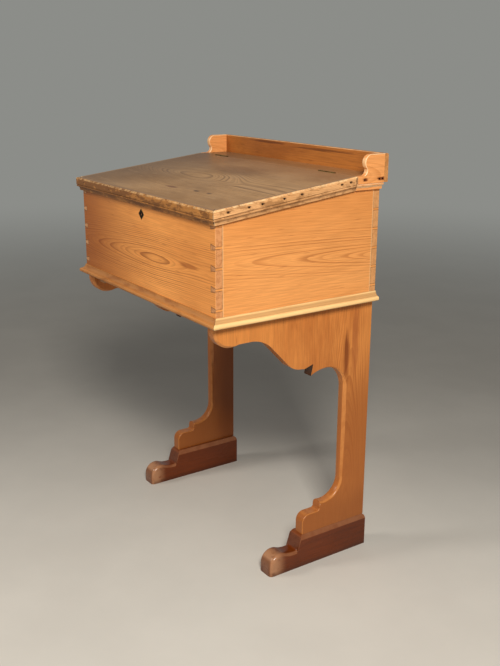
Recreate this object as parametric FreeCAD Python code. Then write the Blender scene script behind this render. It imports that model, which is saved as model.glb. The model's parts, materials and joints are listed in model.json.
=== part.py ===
"""Pine school desk: a dovetailed box with a sloping lift lid and a low gallery,
carried on two shaped side standards that stand on long dark feet.

Units are millimetres. +X is the sitter's right, +Y runs back, +Z is up.
The origin is on the floor, at the middle of the whole desk in plan.
Each piece is written as its own solid, or group of like solids, to parts/NAME.step.
"""
import FreeCAD, Part
import math
import os

V = FreeCAD.Vector

# ---------------------------------------------------------------- driving dimensions
# box
box_width = 680.0          # outside, side to side
box_depth = 469.0          # outside, front to back
board_t = 18.0             # front, back and side boards
bottom_t = 15.0            # bottom boards
bottom_board_names = ("front", "middle", "rear")
tongue_t = 5.0             # tongue that joins two bottom or lid boards
tongue_l = 5.0
joint_clearance = 0.1      # a tongue in its groove, a tenon in its mortise
box_underside_z = 688.0    # what the standards carry
shelf_top_z = 997.0        # fixed shelf behind the lid, level with the lid's rear edge
shelf_t = 18.0

# dovetails at the four corners
pin_first_h = 22.5         # first pin's middle above the side boards' lower edge
pin_pitch = 47.0
pin_narrow = 6.0           # pin width on the face of the side board
pin_slope = 1.0 / 6.0      # sideways growth of each pin flank per mm of depth

# lid
lid_slope = math.radians(6.8)
lid_t = 20.0
lid_board_names = ("front", "middle", "rear")
shelf_d = 81.0             # shelf's depth
hinge_gap = 3.0            # between the lid's rear edge and the shelf
rim_gap = 0.3              # lid's underside above the box rim
side_lift_gap = 1.0        # between a hanging lid edge and the box wall
edge_t = 12.5              # moulded edge strips round the lid
edge_drop = 34.0           # height of those strips
edge_round = 3.5           # worn top arris
edge_quirk_h = 1.0         # quirk under the flat upper face
edge_quirk_d = 2.2
edge_bead_h = 5.2
edge_lip = 0.5             # bead's step out from the cove
edge_foot_t = 6.0          # thickness left at the foot of the cove
edge_foot_h = 2.0
batten_w = 32.0
batten_t = 16.0
batten_inset = 125.0       # middle of a batten from the box's side
batten_front_inset = 45.0  # batten's ends from the lid's front and rear edges
batten_rear_inset = 20.0
batten_bevel = 8.0

# gallery round the shelf
gallery_h = 50.0           # above the shelf
gallery_back_t = 12.0
gallery_corner_r = 5.0
bracket_toe_l = 17.0       # flat toe of a bracket, level with the shelf
bracket_throat_l = 28.0    # from the bracket's front to its throat, bulge and top
bracket_throat_h = 15.0
bracket_bulge_l = 21.0
bracket_bulge_h = 31.0
bracket_top_l = 40.0

# moulding round the bottom of the box
base_projection = 16.0
base_h = 24.0
base_lip = 2.5             # its lower edge below the box
base_nose_r = 6.0
base_cavetto_w = 8.5
base_top_t = 2.5

# side standards
standard_t = 30.0
standard_inset = 7.5       # standard's outer face inside the box's side
leg_w = 81.5
leg_chamfer = 7.0
arch_chamfer = 2.8         # on the arch and the spur
chamfer_stop = 60.0        # degrees round the arch at which it is down to that
chamfer_margin = 2.0       # cutters beyond the wood
lobe_r = 45.5              # rounded front end of the standard, flush with the box
lobe_shoulder = 12.0       # straight part above the lobe
lobe_chamfer = 5.0
lobe_chamfer_stop = 24.0   # degrees in which it runs out at the lobe's end
flat_drop = 52.5           # level run behind the lobe, below the box
flat_run = 33.7
belly_drop = 147.5         # flat of the pendant belly, below the box
ogee_angle = math.radians(46.5)
ogee_top_share = 0.59      # upper curve's part of the two ogee radii
arch_crown_drop = 158.5
arch_r = 59.5              # arch between the leg and the pendant spur
spur_reach = 48.5          # spur's tip in front of the arch's crown
spur_tip_rise = 12.5       # crown above the spur's tip
spur_l = 30.5
spur_lean = 6.0            # spur's upper end behind its tip
notch_w = 21.0             # notch between the belly and the spur's tip
belly_corner_drop = 1.5    # belly's rear corner below its flat
glue_line_run = 3.0        # glue line of a standard's boards, behind that corner
belly_flat = 8.0
cove_r = 54.0              # cove at the bottom of the leg
cove_bottom_h = 75.0       # above the foot
cove_tip_run = 12.5        # upturned tip in front of the cove's lowest point
step_l = 2.5
step_r = 8.0
step_h = 52.5              # toe's top above the foot
toe_reach = 124.5          # toe of the standard in front of the leg
toe_r = 22.0

# feet
foot_t = 50.0
foot_outset = 6.3          # foot's outer face outside the standard's
foot_h = 88.0
foot_reach = 104.0         # nose of the foot in front of the standard's toe
heel_overhang = 3.7        # heel behind the standard's rear edge
heel_r = 10.0
foot_bevel_w = 6.0
foot_bevel_h = 12.0
foot_margin = 2.0          # flat top left in front of the standard's toe
foot_front_bevel_l = 6.0
foot_front_bevel_h = 9.0
riser_lean = 8.0           # riser's foot in front of its top
riser_blend = math.radians(60)   # turn of the small hollow between instep and riser
nose_r = 33.0              # domed nose
nose_crown_h = 56.0
instep_h = 47.3            # lowest point between the dome and the raised part
instep_r = 8.0             # that hollow's radius
instep_blend_r = 68.0
foot_arris_r = 10.0        # toe's rounded arrises
tenon_t = 12.0
tenon_h = 40.0
tenon_shoulder = 22.0      # standard's edges beyond the tenon's ends
foot_screw_well = 19.0     # screw heads above the floor
foot_screw_l = 56.0

# bearers that tie the standards to the box
bearer_w = 28.0
bearer_h = 25.0
bearer_end_gap = 20.0

# butt hinges
hinge_l = 64.0
hinge_inset = 102.0        # middle of a hinge from the box's side
hinge_leaf_t = 1.6
hinge_leaf_h = 15.0
hinge_leaf_gap = 0.3       # between the two closed leaves
hinge_pin_r = 1.1
hinge_pin_clearance = 0.05
barrel_r = 2.4
barrel_drop = 0.3          # hinge axis below the shelf's top
barrel_gap = 0.3           # between two barrels
barrel_recess_gap = 0.5    # round the barrels, in the wood
hinge_screw_l = 14.0

# box lock and its link plate
lock_w = 60.0
lock_h = 50.0
lock_depth = 11.0
lock_wall = 1.2
lock_flange = 9.0          # cap beyond the case at both sides
lock_top_t = 2.0
lock_top_below_rim = 0.3
link_x = 12.0              # links at this distance on each side of the keyhole
link_t = 2.5
link_w = 5.4
link_wall = 1.4
link_drop = 9.0
link_rear_gap = 0.4        # link to the lock's cap
link_plate_t = 1.6
link_plate_w = 9.0
link_plate_l = 56.0
bolt_t = 1.8
bolt_travel = 6.0
bolt_tip_gap = 1.0         # hook's tip short of its link when unlocked
bolt_hook_h = 2.6
bolt_post_w = 4.0
bolt_body_h = 18.0
stump_r = 1.5
stump_clearance = 0.05
keyhole_drop = 36.2        # keyhole's eye below the lock's top
keyhole_r = 3.0
keyhole_slot_w = 3.0
keyhole_slot_l = 9.0
drill_pin_r = 1.2
escutcheon_size = 30.0     # corner to corner
escutcheon_t = 1.5

# nails and screws
nail_r = 1.1
nail_head_r = 2.4
nail_head_t = 1.0
nail_l = 32.0
brad_r = 0.8
brad_head_r = 1.3
brad_l = 30.0
screw_r = 1.9
screw_head_r = 3.8
screw_head_h = 2.2
fastener_inset = 45.0      # first and last fastener of a row from the piece's ends
bracket_nail_from_front = 20.0
bracket_nails_from_rear = (15.0, 5.0)
end_brad_inset = 18.0
edge_nail_places = (0.095, 0.231, 0.321, 0.469, 0.592, 0.883, 0.951)   # along a side edge strip
foot_screw_inset = 30.0    # from the tenon's ends
batten_screw_inset = 25.0
bearer_screw_step = 30.0   # a sideways screw behind each upward one
screw_slot_w = 0.9
screw_slot_d = 0.8

# ---------------------------------------------------------------- places worked out from them
total_depth = base_projection + box_depth + gallery_back_t
box_front = base_projection - total_depth / 2
box_rear = box_front + box_depth
half_box = box_width / 2
wall_bottom_z = box_underside_z + bottom_t
shelf_under_z = shelf_top_z - shelf_t

shelf_front = box_rear - shelf_d
hinge_y = shelf_front - hinge_gap / 2
hinge_z = shelf_top_z - barrel_drop
hinge_x = half_box - hinge_inset
lid_rear = shelf_front - hinge_gap
batten_x = half_box - batten_inset
lid_front = box_front - side_lift_gap - edge_t
lid_half = half_box + side_lift_gap + edge_t
lid_board_half = lid_half - edge_t
lid_board_front = lid_front + edge_t
lid_t_upright = lid_t / math.cos(lid_slope)
bracket_t = lid_half - half_box
edge_face_h = shelf_t

standard_outer = half_box - standard_inset
standard_inner = standard_outer - standard_t
leg_front = box_rear - leg_w
arch_y = leg_front - arch_r
arch_crown_z = box_underside_z - arch_crown_drop
spur_y = arch_y - spur_reach
belly_end = spur_y - notch_w
belly_z = box_underside_z - belly_drop
toe_y = leg_front - toe_reach
board_joint_y = belly_end + glue_line_run
foot_outer = standard_outer + foot_outset
foot_inner = foot_outer - foot_t
foot_nose = toe_y - foot_reach
heel_y = box_rear + heel_overhang


barrel_leaves = (1, -1, 1, -1, 1)    # which leaf holds each barrel: 1 shelf, -1 lid


def lid_top(y):
    """Height of the lid's upper surface at depth y."""
    return shelf_top_z - (lid_rear - y) * math.tan(lid_slope)


def lid_under(y):
    """Height of the lid boards' underside at depth y."""
    return lid_top(y) - lid_t_upright


def rim(y):
    """Height of the box's sloping rim at depth y."""
    return lid_under(y) - rim_gap


# ---------------------------------------------------------------- helpers
def box(x0, x1, y0, y1, z0, z1):
    """Rectangular block between two corners."""
    return Part.makeBox(x1 - x0, y1 - y0, z1 - z0, V(x0, y0, z0))


def rod(radius, start, end):
    """Round rod between two points."""
    run = end - start
    return Part.makeCylinder(radius, run.Length, start, run)


def taper(radius_a, radius_b, start, end):
    """Round taper between two points."""
    run = end - start
    return Part.makeCone(radius_a, radius_b, run.Length, start, run)


def outline(place, start, *steps):
    """Closed flat face. A step is a point, or a middle and an end point of an arc."""
    edges = []
    here = start
    for step in steps + (start,):
        if isinstance(step[0], tuple):
            middle, end = step
            edges.append(Part.Arc(place(*here), place(*middle), place(*end)).toShape())
        else:
            end = step
            if math.dist(here, end) > 1e-6:
                edges.append(Part.makeLine(place(*here), place(*end)))
        here = end
    return Part.Face(Part.Wire(edges))


def side_prism(x0, x1, start, *steps):
    """Outline in (y, z), carried from x0 to x1."""
    face = outline(lambda y, z: V(x0, y, z), start, *steps)
    return face.extrude(V(x1 - x0, 0, 0))


def front_prism(y0, y1, start, *steps):
    """Outline in (x, z), carried from y0 to y1."""
    face = outline(lambda x, z: V(x, y0, z), start, *steps)
    return face.extrude(V(0, y1 - y0, 0))


def on_circle(centre, radius, degrees):
    """Point on a circle, measured from the first axis."""
    turn = math.radians(degrees)
    return (centre[0] + radius * math.cos(turn), centre[1] + radius * math.sin(turn))


def mirrored(shape):
    """The other hand of a piece, across the desk's middle plane."""
    return shape.mirror(V(0, 0, 0), V(1, 0, 0))


def joined(pieces):
    """One solid from overlapping or touching pieces."""
    first = pieces[0]
    return first.fuse(pieces[1:]).removeSplitter()


def save(name, *solids):
    """Write one node: a single solid, or a group of separate like solids."""
    found = [solid for shape in solids for solid in shape.Solids]
    for solid in found:
        assert solid.isValid(), name
    shape = found[0] if len(found) == 1 else Part.makeCompound(found)
    shape.exportStep("parts/" + name + ".step")
    print(f"{name:30s} solids {len(found):3d}  volume {shape.Volume / 1000:9.2f} cm3")


def save_pair(name, right):
    """Write a right-hand piece and its mirrored left-hand twin."""
    save(name + "_right", right)
    save(name + "_left", mirrored(right))


def nail(head, direction, length, radius=nail_r, head_radius=nail_head_r):
    """Round nail whose flat head is flush at the point `head`."""
    way = V(direction)
    way.normalize()
    top = rod(head_radius, head, head + way * nail_head_t)
    shank = rod(radius, head, head + way * (length - 3 * radius))
    tip = taper(radius, radius / 4, head + way * (length - 3 * radius), head + way * length)
    return joined([top, shank, tip])


def brad(head, direction, length=brad_l):
    """Thin brad with a small head."""
    return nail(head, direction, length, brad_r, brad_head_r)


def screw(head, direction, length):
    """Countersunk slotted screw whose head is flush at the point `head`."""
    way = V(direction)
    way.normalize()
    top = taper(screw_head_r, screw_r, head, head + way * screw_head_h)
    shank = rod(screw_r, head + way * screw_head_h, head + way * (length - 2 * screw_r))
    tip = taper(screw_r, screw_r / 3, head + way * (length - 2 * screw_r), head + way * length)
    across = V(1, 0, 0) if abs(way.x) < 0.5 else V(0, 1, 0)
    slot = Part.makeBox(4 * screw_head_r, screw_slot_w, 2 * screw_slot_d,
                        V(-2 * screw_head_r, -screw_slot_w / 2, -screw_slot_d))
    slot.Placement = FreeCAD.Placement(head, FreeCAD.Rotation(across, V(0, 0, 0), way, "ZXY"))
    return joined([top, shank, tip]).cut(slot)


def drilled(piece, fasteners):
    """The piece with a hole for each fastener that enters it."""
    return piece.cut(Part.makeCompound(fasteners))


def spread(start, end, count):
    """Evenly spaced values from start to end."""
    return [start + (end - start) * i / (count - 1) for i in range(count)]


# ---------------------------------------------------------------- fasteners' places
def bottom_nails():
    """Nails up through the bottom boards into the side boards."""
    x = half_box - board_t / 2
    ys = spread(box_front + 2 * board_t, box_rear - 2 * board_t, 6)
    return [nail(V(side * x, y, box_underside_z), V(0, 0, 1), 2.4 * bottom_t)
            for side in (-1, 1) for y in ys]


def base_brads():
    """Brads through the nose of the bottom moulding into the bottom boards."""
    z = box_underside_z - base_lip + base_nose_r
    out = base_projection - 0.15
    front = [brad(V(x, box_front - out, z), V(0, 1, 0))
             for x in spread(-half_box * 0.85, half_box * 0.85, 6)]
    sides = [brad(V(side * (half_box + out), y, z), V(-side, 0, 0))
             for side in (-1, 1)
             for y in spread(box_front + fastener_inset, box_rear - fastener_inset, 4)]
    return front + sides


def gallery_nails():
    """Nails through the brackets into the shelf's ends, and through the backboard."""
    z = shelf_top_z - shelf_t / 2
    ys = [shelf_front + bracket_nail_from_front] + [box_rear - back for back in bracket_nails_from_rear]
    ends = [nail(V(side * lid_half, y, z), V(-side, 0, 0), nail_l)
            for side in (-1, 1) for y in ys]
    back = [nail(V(x, box_rear + gallery_back_t, z), V(0, -1, 0), nail_l)
            for x in spread(-half_box * 0.9, half_box * 0.9, 6)]
    corners = [nail(V(side * (lid_half - bracket_t / 2), box_rear + gallery_back_t,
                      shelf_top_z + gallery_h * 0.6), V(0, -1, 0), nail_l)
               for side in (-1, 1)]
    return ends + back + corners


def shelf_nails():
    """Nails down through the shelf into the box walls."""
    z = shelf_top_z
    y_mid = (shelf_front + box_rear - board_t) / 2
    ends = [nail(V(side * (half_box - board_t / 2), y_mid, z), V(0, 0, -1), 2.4 * shelf_t)
            for side in (-1, 1)]
    back = [nail(V(x, box_rear - board_t / 2, z), V(0, 0, -1), 2.4 * shelf_t)
            for x in spread(-half_box * 0.6, half_box * 0.6, 4)]
    return ends + back


def end_moulding_brads():
    """Brads that hold the short mouldings under the gallery brackets."""
    z = shelf_under_z - edge_quirk_h - edge_bead_h / 2
    x = half_box + bracket_t - 0.4
    return [brad(V(side * x, y, z), V(-side, 0, 0))
            for side in (-1, 1)
            for y in (shelf_front + end_brad_inset, box_rear - board_t - end_brad_inset)]


def lid_edge_nails():
    """Nails through the lid's edge strips into the lid boards."""
    def height(y):
        return lid_top(y) - lid_t_upright / 2
    front = [brad(V(x, lid_front, height(lid_front)), V(0, 1, 0))
             for x in spread(-lid_half * 0.86, lid_half * 0.86, 5)]
    places = [lid_front + share * (lid_rear - lid_front) for share in edge_nail_places]
    sides = [nail(V(side * lid_half, y, height(y)), V(-side, 0, 0), nail_l)
             for side in (-1, 1) for y in places]
    return front + sides


def batten_screws():
    """Screws up through the battens into the lid boards."""
    normal = V(0, -math.sin(lid_slope), math.cos(lid_slope))
    found = []
    first = lid_board_front + batten_front_inset + batten_screw_inset
    last = lid_rear - batten_rear_inset - batten_screw_inset
    for side in (-1, 1):
        for y in spread(first, last, 5):
            seat = V(side * batten_x, y, lid_under(y)) - normal * batten_t
            found.append(screw(seat, normal, batten_t + 0.6 * lid_t))
    return found


def bearer_screws():
    """Screws from the bearers up into the box bottom and out into the standards."""
    inset = bearer_end_gap + fastener_inset
    ys = spread(box_front + inset, box_rear - inset, 4)
    x_mid = standard_inner - bearer_w / 2
    low = box_underside_z - bearer_h
    middle = box_underside_z - bearer_h / 2
    inner = standard_inner - bearer_w
    up = [screw(V(side * x_mid, y, low), V(0, 0, 1), bearer_h + 0.75 * bottom_t)
          for side in (-1, 1) for y in ys]
    out = [screw(V(side * inner, y + bearer_screw_step, middle), V(side, 0, 0),
                 bearer_w + 0.7 * standard_t)
           for side in (-1, 1) for y in ys[:-1]]
    return up + out


def foot_screw_ys():
    """Depths of the two screws under each foot."""
    inset = tenon_shoulder + foot_screw_inset
    return toe_y + inset, box_rear - inset


def foot_screws():
    """Screws up from under each foot into the standard's tenon."""
    x = (standard_inner + standard_outer) / 2
    return [screw(V(side * x, y, foot_screw_well), V(0, 0, 1), foot_screw_l)
            for side in (-1, 1) for y in foot_screw_ys()]


def hinge_screw_xs(side):
    """Places of the three screws across one hinge leaf."""
    middle = side * hinge_x
    return spread(middle - hinge_l * 0.34, middle + hinge_l * 0.34, 3)


def hinge_screws(way):
    """Screws through the leaves: way +1 into the shelf, -1 into the lid."""
    y = hinge_y + way * hinge_leaf_gap / 2
    z = hinge_z - hinge_leaf_h * 0.62
    return [screw(V(x, y, z), V(0, way, 0), hinge_screw_l)
            for side in (-1, 1) for x in hinge_screw_xs(side)]


def lock_screws():
    """Screws through the lock cap's flanges into the front board."""
    x = lock_w / 2 + lock_flange / 2
    return [screw(V(side * x, lock_rear, z), V(0, -1, 0), board_t * 0.7)
            for side in (-1, 1) for z in (lock_bottom_z + 8, lock_top_z - 12)]


def link_plate_screws():
    """Screws up through the link plate into the lid."""
    y = link_y
    return [screw(V(x, y, lid_under(y)), V(0, 0, 1), 0.6 * lid_t)
            for x in (-link_plate_l * 0.38, link_plate_l * 0.38)]


def escutcheon_pins():
    """Small round-headed pins at the top and bottom corners of the escutcheon."""
    reach = escutcheon_size * 0.36
    return [nail(V(0, box_front - 0.2, keyhole_z + way * reach), V(0, 1, 0), 6, 0.6, 1.1)
            for way in (-1, 1)]


# ---------------------------------------------------------------- box
def pin_heights(top_z):
    """Heights of the dovetail pins' middles on a corner that ends at top_z."""
    heights = []
    z = wall_bottom_z + pin_first_h
    while z < top_z - pin_narrow - 3:
        heights.append(z)
        z += pin_pitch
    return heights


def pins(y0, y1, top_z):
    """Right-hand side board's dovetail pins between depths y0 and y1."""
    narrow = pin_narrow / 2
    wide = narrow + board_t * pin_slope
    found = []
    for z in pin_heights(top_z):
        found.append(front_prism(y0, y1,
                                 (half_box, z - narrow), (half_box, z + narrow),
                                 (half_box - board_t, z + wide), (half_box - board_t, z - wide)))
    return found


def front_pins():
    """Pins at the box's front corner."""
    return pins(box_front, box_front + board_t, rim(box_front))


def rear_pins():
    """Pins at the box's rear corner."""
    return pins(box_rear - board_t, box_rear, shelf_under_z)


def side_board():
    """Right-hand side board with its dovetail pins and sloping rim."""
    body = side_prism(half_box - board_t, half_box,
                      (box_front + board_t, wall_bottom_z),
                      (box_rear - board_t, wall_bottom_z),
                      (box_rear - board_t, shelf_under_z),
                      (hinge_y, shelf_under_z),
                      (hinge_y, rim(hinge_y)),
                      (box_front + board_t, rim(box_front + board_t)))
    return joined([body] + front_pins() + rear_pins())


def front_board():
    """Front board with tails, lock recess and keyhole."""
    board = side_prism(-half_box, half_box,
                       (box_front, wall_bottom_z), (box_front + board_t, wall_bottom_z),
                       (box_front + board_t, rim(box_front + board_t)),
                       (box_front, rim(box_front)))
    sockets = front_pins()
    sockets += [mirrored(pin) for pin in sockets]
    recess = box(-lock_w / 2, lock_w / 2, box_front + board_t - lock_depth, box_front + board_t + 1,
                 lock_bottom_z, shelf_top_z)
    return board.cut(sockets + [recess, lock_cap(), keyhole(box_front - 1, box_front + board_t),
                                escutcheon_blank()])


def back_board():
    """Back board with tails."""
    board = box(-half_box, half_box, box_rear - board_t, box_rear, wall_bottom_z, shelf_under_z)
    sockets = rear_pins()
    return board.cut(sockets + [mirrored(pin) for pin in sockets])


def board_edges(count, front, rear, index):
    """Front and rear edges of one board in a row of equal boards."""
    width = (rear - front) / count
    return front + width * index, front + width * (index + 1)


def bottom_boards():
    """Bottom boards, side to side, joined with tongues and grooves."""
    found = []
    middle_z = box_underside_z + bottom_t / 2
    count = len(bottom_board_names)
    for index in range(count):
        y0, y1 = board_edges(count, box_front, box_rear, index)
        board = box(-half_box, half_box, y0, y1, box_underside_z, wall_bottom_z)
        if index < count - 1:
            tongue = box(-half_box, half_box, y1, y1 + tongue_l,
                         middle_z - tongue_t / 2, middle_z + tongue_t / 2)
            board = joined([board, tongue])
        if index > 0:
            groove = box(-half_box, half_box, y0, y0 + tongue_l + joint_clearance,
                         middle_z - tongue_t / 2 - joint_clearance,
                         middle_z + tongue_t / 2 + joint_clearance)
            board = board.cut(groove)
        found.append(board)
    return found


# ---------------------------------------------------------------- mouldings
def base_profile(place):
    """Section of the bottom moulding: distance out from the wall, and height."""
    low = box_underside_z - base_lip
    top = low + base_h
    shoulder = low + 2 * base_nose_r
    nose = base_projection - base_nose_r
    rise = top - shoulder
    radius = (base_cavetto_w ** 2 + rise ** 2) / (2 * base_cavetto_w)
    turn = math.degrees(math.asin(rise / radius))
    middle = on_circle((base_top_t + radius, top), radius, 180 + turn / 2)
    return outline(place, (0, low), (nose, low),
                   ((base_projection, low + base_nose_r), (nose, shoulder)),
                   (base_top_t + base_cavetto_w, shoulder),
                   (middle, (base_top_t, top)),
                   (0, top))


def edge_profile(place, inner, with_face, slope=0.0):
    """Section of the lid's edge strips: distance out, and height from the top.

    The short mouldings under the gallery brackets have only the part below the flat face.
    The whole section may rise outwards by `slope`.
    """
    step = edge_t - edge_quirk_d
    bead_top = -edge_face_h - edge_quirk_h
    bead_low = bead_top - edge_bead_h
    lip = step - edge_lip
    cove_low = -edge_drop + edge_foot_h
    hollow = (lip - 0.7 * (lip - edge_foot_t), cove_low - 0.7 * (cove_low - bead_low))
    points = [(edge_foot_t, -edge_drop), (edge_foot_t, cove_low), (hollow, (lip, bead_low)),
              (step, bead_low), ((edge_t - 0.2, (bead_low + bead_top) / 2), (step, bead_top)),
              (step, -edge_face_h)]
    if with_face:
        corner = edge_round * (1 - math.sqrt(0.5))
        points += [(edge_t, -edge_face_h), (edge_t, -edge_round),
                   ((edge_t - corner, -corner), (edge_t - edge_round, 0)), (inner, 0)]
    else:
        points += [(inner, -edge_face_h)]

    def lifted(out, z):
        return place(out, z + slope * out)
    return outline(lifted, (inner, -edge_drop), *points)


def mitre_zone(corner_x, corner_y, side, thickness):
    """Tall block over the room behind the mitre line at a front corner."""
    reach = thickness + 1
    near = V(corner_x + side, corner_y - 1, 0)
    inner = V(corner_x - side * reach, corner_y + reach, 0)
    rear = V(corner_x - side * reach, corner_y + 2 * box_depth, 0)
    outer = V(corner_x + side, corner_y + 2 * box_depth, 0)
    plan = Part.Face(Part.makePolygon([near, inner, rear, outer, near]))
    return plan.extrude(V(0, 0, 2 * shelf_top_z))


def base_front():
    """Bottom moulding along the front, mitred at both ends."""
    reach = half_box + base_projection
    face = base_profile(lambda out, z: V(-reach, box_front - out, z))
    strip = face.extrude(V(2 * reach, 0, 0))
    return strip.cut([mitre_zone(side * reach, box_front - base_projection, side, base_projection)
                      for side in (-1, 1)])


def base_side():
    """Bottom moulding along the right side: mitred in front, square at the rear."""
    start = box_front - base_projection
    face = base_profile(lambda out, z: V(half_box + out, start, z))
    strip = face.extrude(V(0, box_rear - start, 0))
    return strip.common(mitre_zone(half_box + base_projection, start, 1, base_projection))


def edge_front():
    """Lid's front edge strip, mitred at both ends, its top following the slope."""
    top = lid_top(lid_board_front)
    face = edge_profile(lambda out, z: V(-lid_half, lid_board_front - out, top + z), 0.0, True,
                        -math.tan(lid_slope))
    strip = face.extrude(V(2 * lid_half, 0, 0))
    return strip.cut([mitre_zone(side * lid_half, lid_front, side, edge_t) for side in (-1, 1)])


def edge_side():
    """Lid's right edge strip: mitred in front, cut upright at the rear."""
    top = lid_top(lid_front)
    face = edge_profile(lambda out, z: V(lid_board_half + out, lid_front, top + z), 0.0, True)
    run = lid_rear - lid_front
    strip = face.extrude(V(0, run, run * math.tan(lid_slope)))
    return strip.common(mitre_zone(lid_half, lid_front, 1, edge_t))


def shelf_end_moulding():
    """Short moulding on the box's right side, under the gallery bracket."""
    wall = half_box + side_lift_gap
    face = edge_profile(lambda out, z: V(wall + out, shelf_front, shelf_top_z + z), -side_lift_gap, False)
    return face.extrude(V(0, box_rear - shelf_front, 0))


# ---------------------------------------------------------------- shelf and gallery
def shelf():
    """Fixed shelf behind the lid, with gains for the hinges."""
    board = box(-half_box, half_box, shelf_front, box_rear, shelf_under_z, shelf_top_z)
    return board.cut(hinge_gains(1))


def gallery_back():
    """Low backboard behind the shelf, with rounded upper corners."""
    y0 = box_rear
    y1 = box_rear + gallery_back_t
    top = shelf_top_z + gallery_h
    board = box(-lid_half, lid_half, y0, y1, shelf_under_z, top)
    rear_top = [edge for edge in board.Edges
                if abs(edge.CenterOfMass.y - y1) < 1e-3 and abs(edge.CenterOfMass.z - top) < 1e-3]
    return board.makeFillet(gallery_corner_r, rear_top)


def gallery_bracket():
    """Right gallery bracket: flat toe, throat, bulge and rounded shoulder."""
    front = shelf_front
    top = shelf_top_z + gallery_h
    toe = (front + bracket_toe_l, shelf_top_z)
    throat = (front + bracket_throat_l, shelf_top_z + bracket_throat_h)
    bulge = (front + bracket_bulge_l, shelf_top_z + bracket_bulge_h)
    shoulder = (front + bracket_top_l, top)
    cove = ((toe[0] * 0.35 + throat[0] * 0.65, toe[1] * 0.75 + throat[1] * 0.25), throat)
    nose = ((throat[0] * 0.35 + bulge[0] * 0.65, throat[1] * 0.6 + bulge[1] * 0.4), bulge)
    crown = ((bulge[0] * 0.76 + shoulder[0] * 0.24, bulge[1] * 0.35 + shoulder[1] * 0.65), shoulder)
    return side_prism(half_box, lid_half, (front, shelf_under_z), (front, shelf_top_z), toe,
                      cove, nose, crown, (box_rear, top), (box_rear, shelf_under_z))


# ---------------------------------------------------------------- lid
def lid_boards():
    """Lid boards, side to side, tongued and grooved, with hinge and link-plate gains."""
    found = []
    count = len(lid_board_names)
    for index in range(count):
        y0, y1 = board_edges(count, lid_board_front, lid_rear, index)
        last = index == count - 1

        def slab(front, rear, low, high):
            return side_prism(-lid_board_half, lid_board_half,
                              (front, lid_top(front) - low), (rear, lid_top(rear) - low),
                              (rear, lid_top(rear) - high), (front, lid_top(front) - high))
        board = slab(y0, y1, lid_t_upright, 0)
        upper = (lid_t_upright - tongue_t) / 2
        if not last:
            board = joined([board, slab(y1, y1 + tongue_l, upper + tongue_t, upper)])
        if index > 0:
            board = board.cut(slab(y0, y0 + tongue_l + joint_clearance,
                                   upper + tongue_t + joint_clearance, upper - joint_clearance))
        if index == 0:
            board = board.cut(link_plate_body())
        if last:
            board = board.cut(hinge_gains(-1))
        found.append(board)
    return found


def lid_batten():
    """Right batten under the lid, with bevelled ends."""
    front = lid_board_front + batten_front_inset
    rear = lid_rear - batten_rear_inset
    return side_prism(batten_x - batten_w / 2, batten_x + batten_w / 2,
                      (front, lid_under(front)), (rear, lid_under(rear)),
                      (rear, lid_under(rear) - batten_t + batten_bevel),
                      (rear - batten_bevel, lid_under(rear) - batten_t),
                      (front + batten_bevel, lid_under(front) - batten_t),
                      (front, lid_under(front) - batten_t + batten_bevel))


# ---------------------------------------------------------------- hinges
def leaf_block(middle_x, way, extra=0.0):
    """Flat part of a hinge leaf: way +1 on the shelf, -1 on the lid."""
    near = hinge_y + way * hinge_leaf_gap / 2
    far = near + way * hinge_leaf_t
    return box(middle_x - hinge_l / 2 - extra, middle_x + hinge_l / 2 + extra,
               min(near, far), max(near, far), hinge_z - hinge_leaf_h, hinge_z)


def barrel_ends(middle_x, index):
    """Ends of one barrel along the hinge."""
    pitch = hinge_l / len(barrel_leaves)
    start = middle_x - hinge_l / 2 + pitch * index
    return start + barrel_gap / 2, start + pitch - barrel_gap / 2


def hinge_leaf(middle_x, way):
    """One leaf with its barrels, bored for the pin and its screws."""
    leaf = leaf_block(middle_x, way)
    mine = [i for i, leaf_way in enumerate(barrel_leaves) if leaf_way == way]
    others = [i for i, leaf_way in enumerate(barrel_leaves) if leaf_way != way]
    barrels = []
    for index in mine:
        x0, x1 = barrel_ends(middle_x, index)
        barrels.append(rod(barrel_r, V(x0, hinge_y, hinge_z), V(x1, hinge_y, hinge_z)))
    room = []
    for index in others:
        x0, x1 = barrel_ends(middle_x, index)
        room.append(rod(barrel_r + barrel_gap, V(x0 - barrel_gap, hinge_y, hinge_z),
                        V(x1 + barrel_gap, hinge_y, hinge_z)))
    leaf = joined([leaf.cut(room)] + barrels)
    bore = hinge_pin_r + (0.0 if way > 0 else hinge_pin_clearance)
    leaf = leaf.cut(rod(bore, V(middle_x - hinge_l, hinge_y, hinge_z),
                        V(middle_x + hinge_l, hinge_y, hinge_z)))
    return drilled(leaf, hinge_screws(way))


def hinge_pin(middle_x):
    """Pin, tight in the shelf leaf's barrels and free in the lid leaf's."""
    reach = hinge_l / 2 - barrel_gap / 2
    return rod(hinge_pin_r, V(middle_x - reach, hinge_y, hinge_z), V(middle_x + reach, hinge_y, hinge_z))


def hinge_gains(way):
    """What the hinges take out of the shelf's front edge or the lid's rear edge."""
    gains = []
    for side in (-1, 1):
        middle = side * hinge_x
        gains.append(leaf_block(middle, way))
        gains.append(rod(barrel_r + barrel_recess_gap,
                         V(middle - hinge_l / 2 - barrel_gap, hinge_y, hinge_z),
                         V(middle + hinge_l / 2 + barrel_gap, hinge_y, hinge_z)))
    return gains


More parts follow.
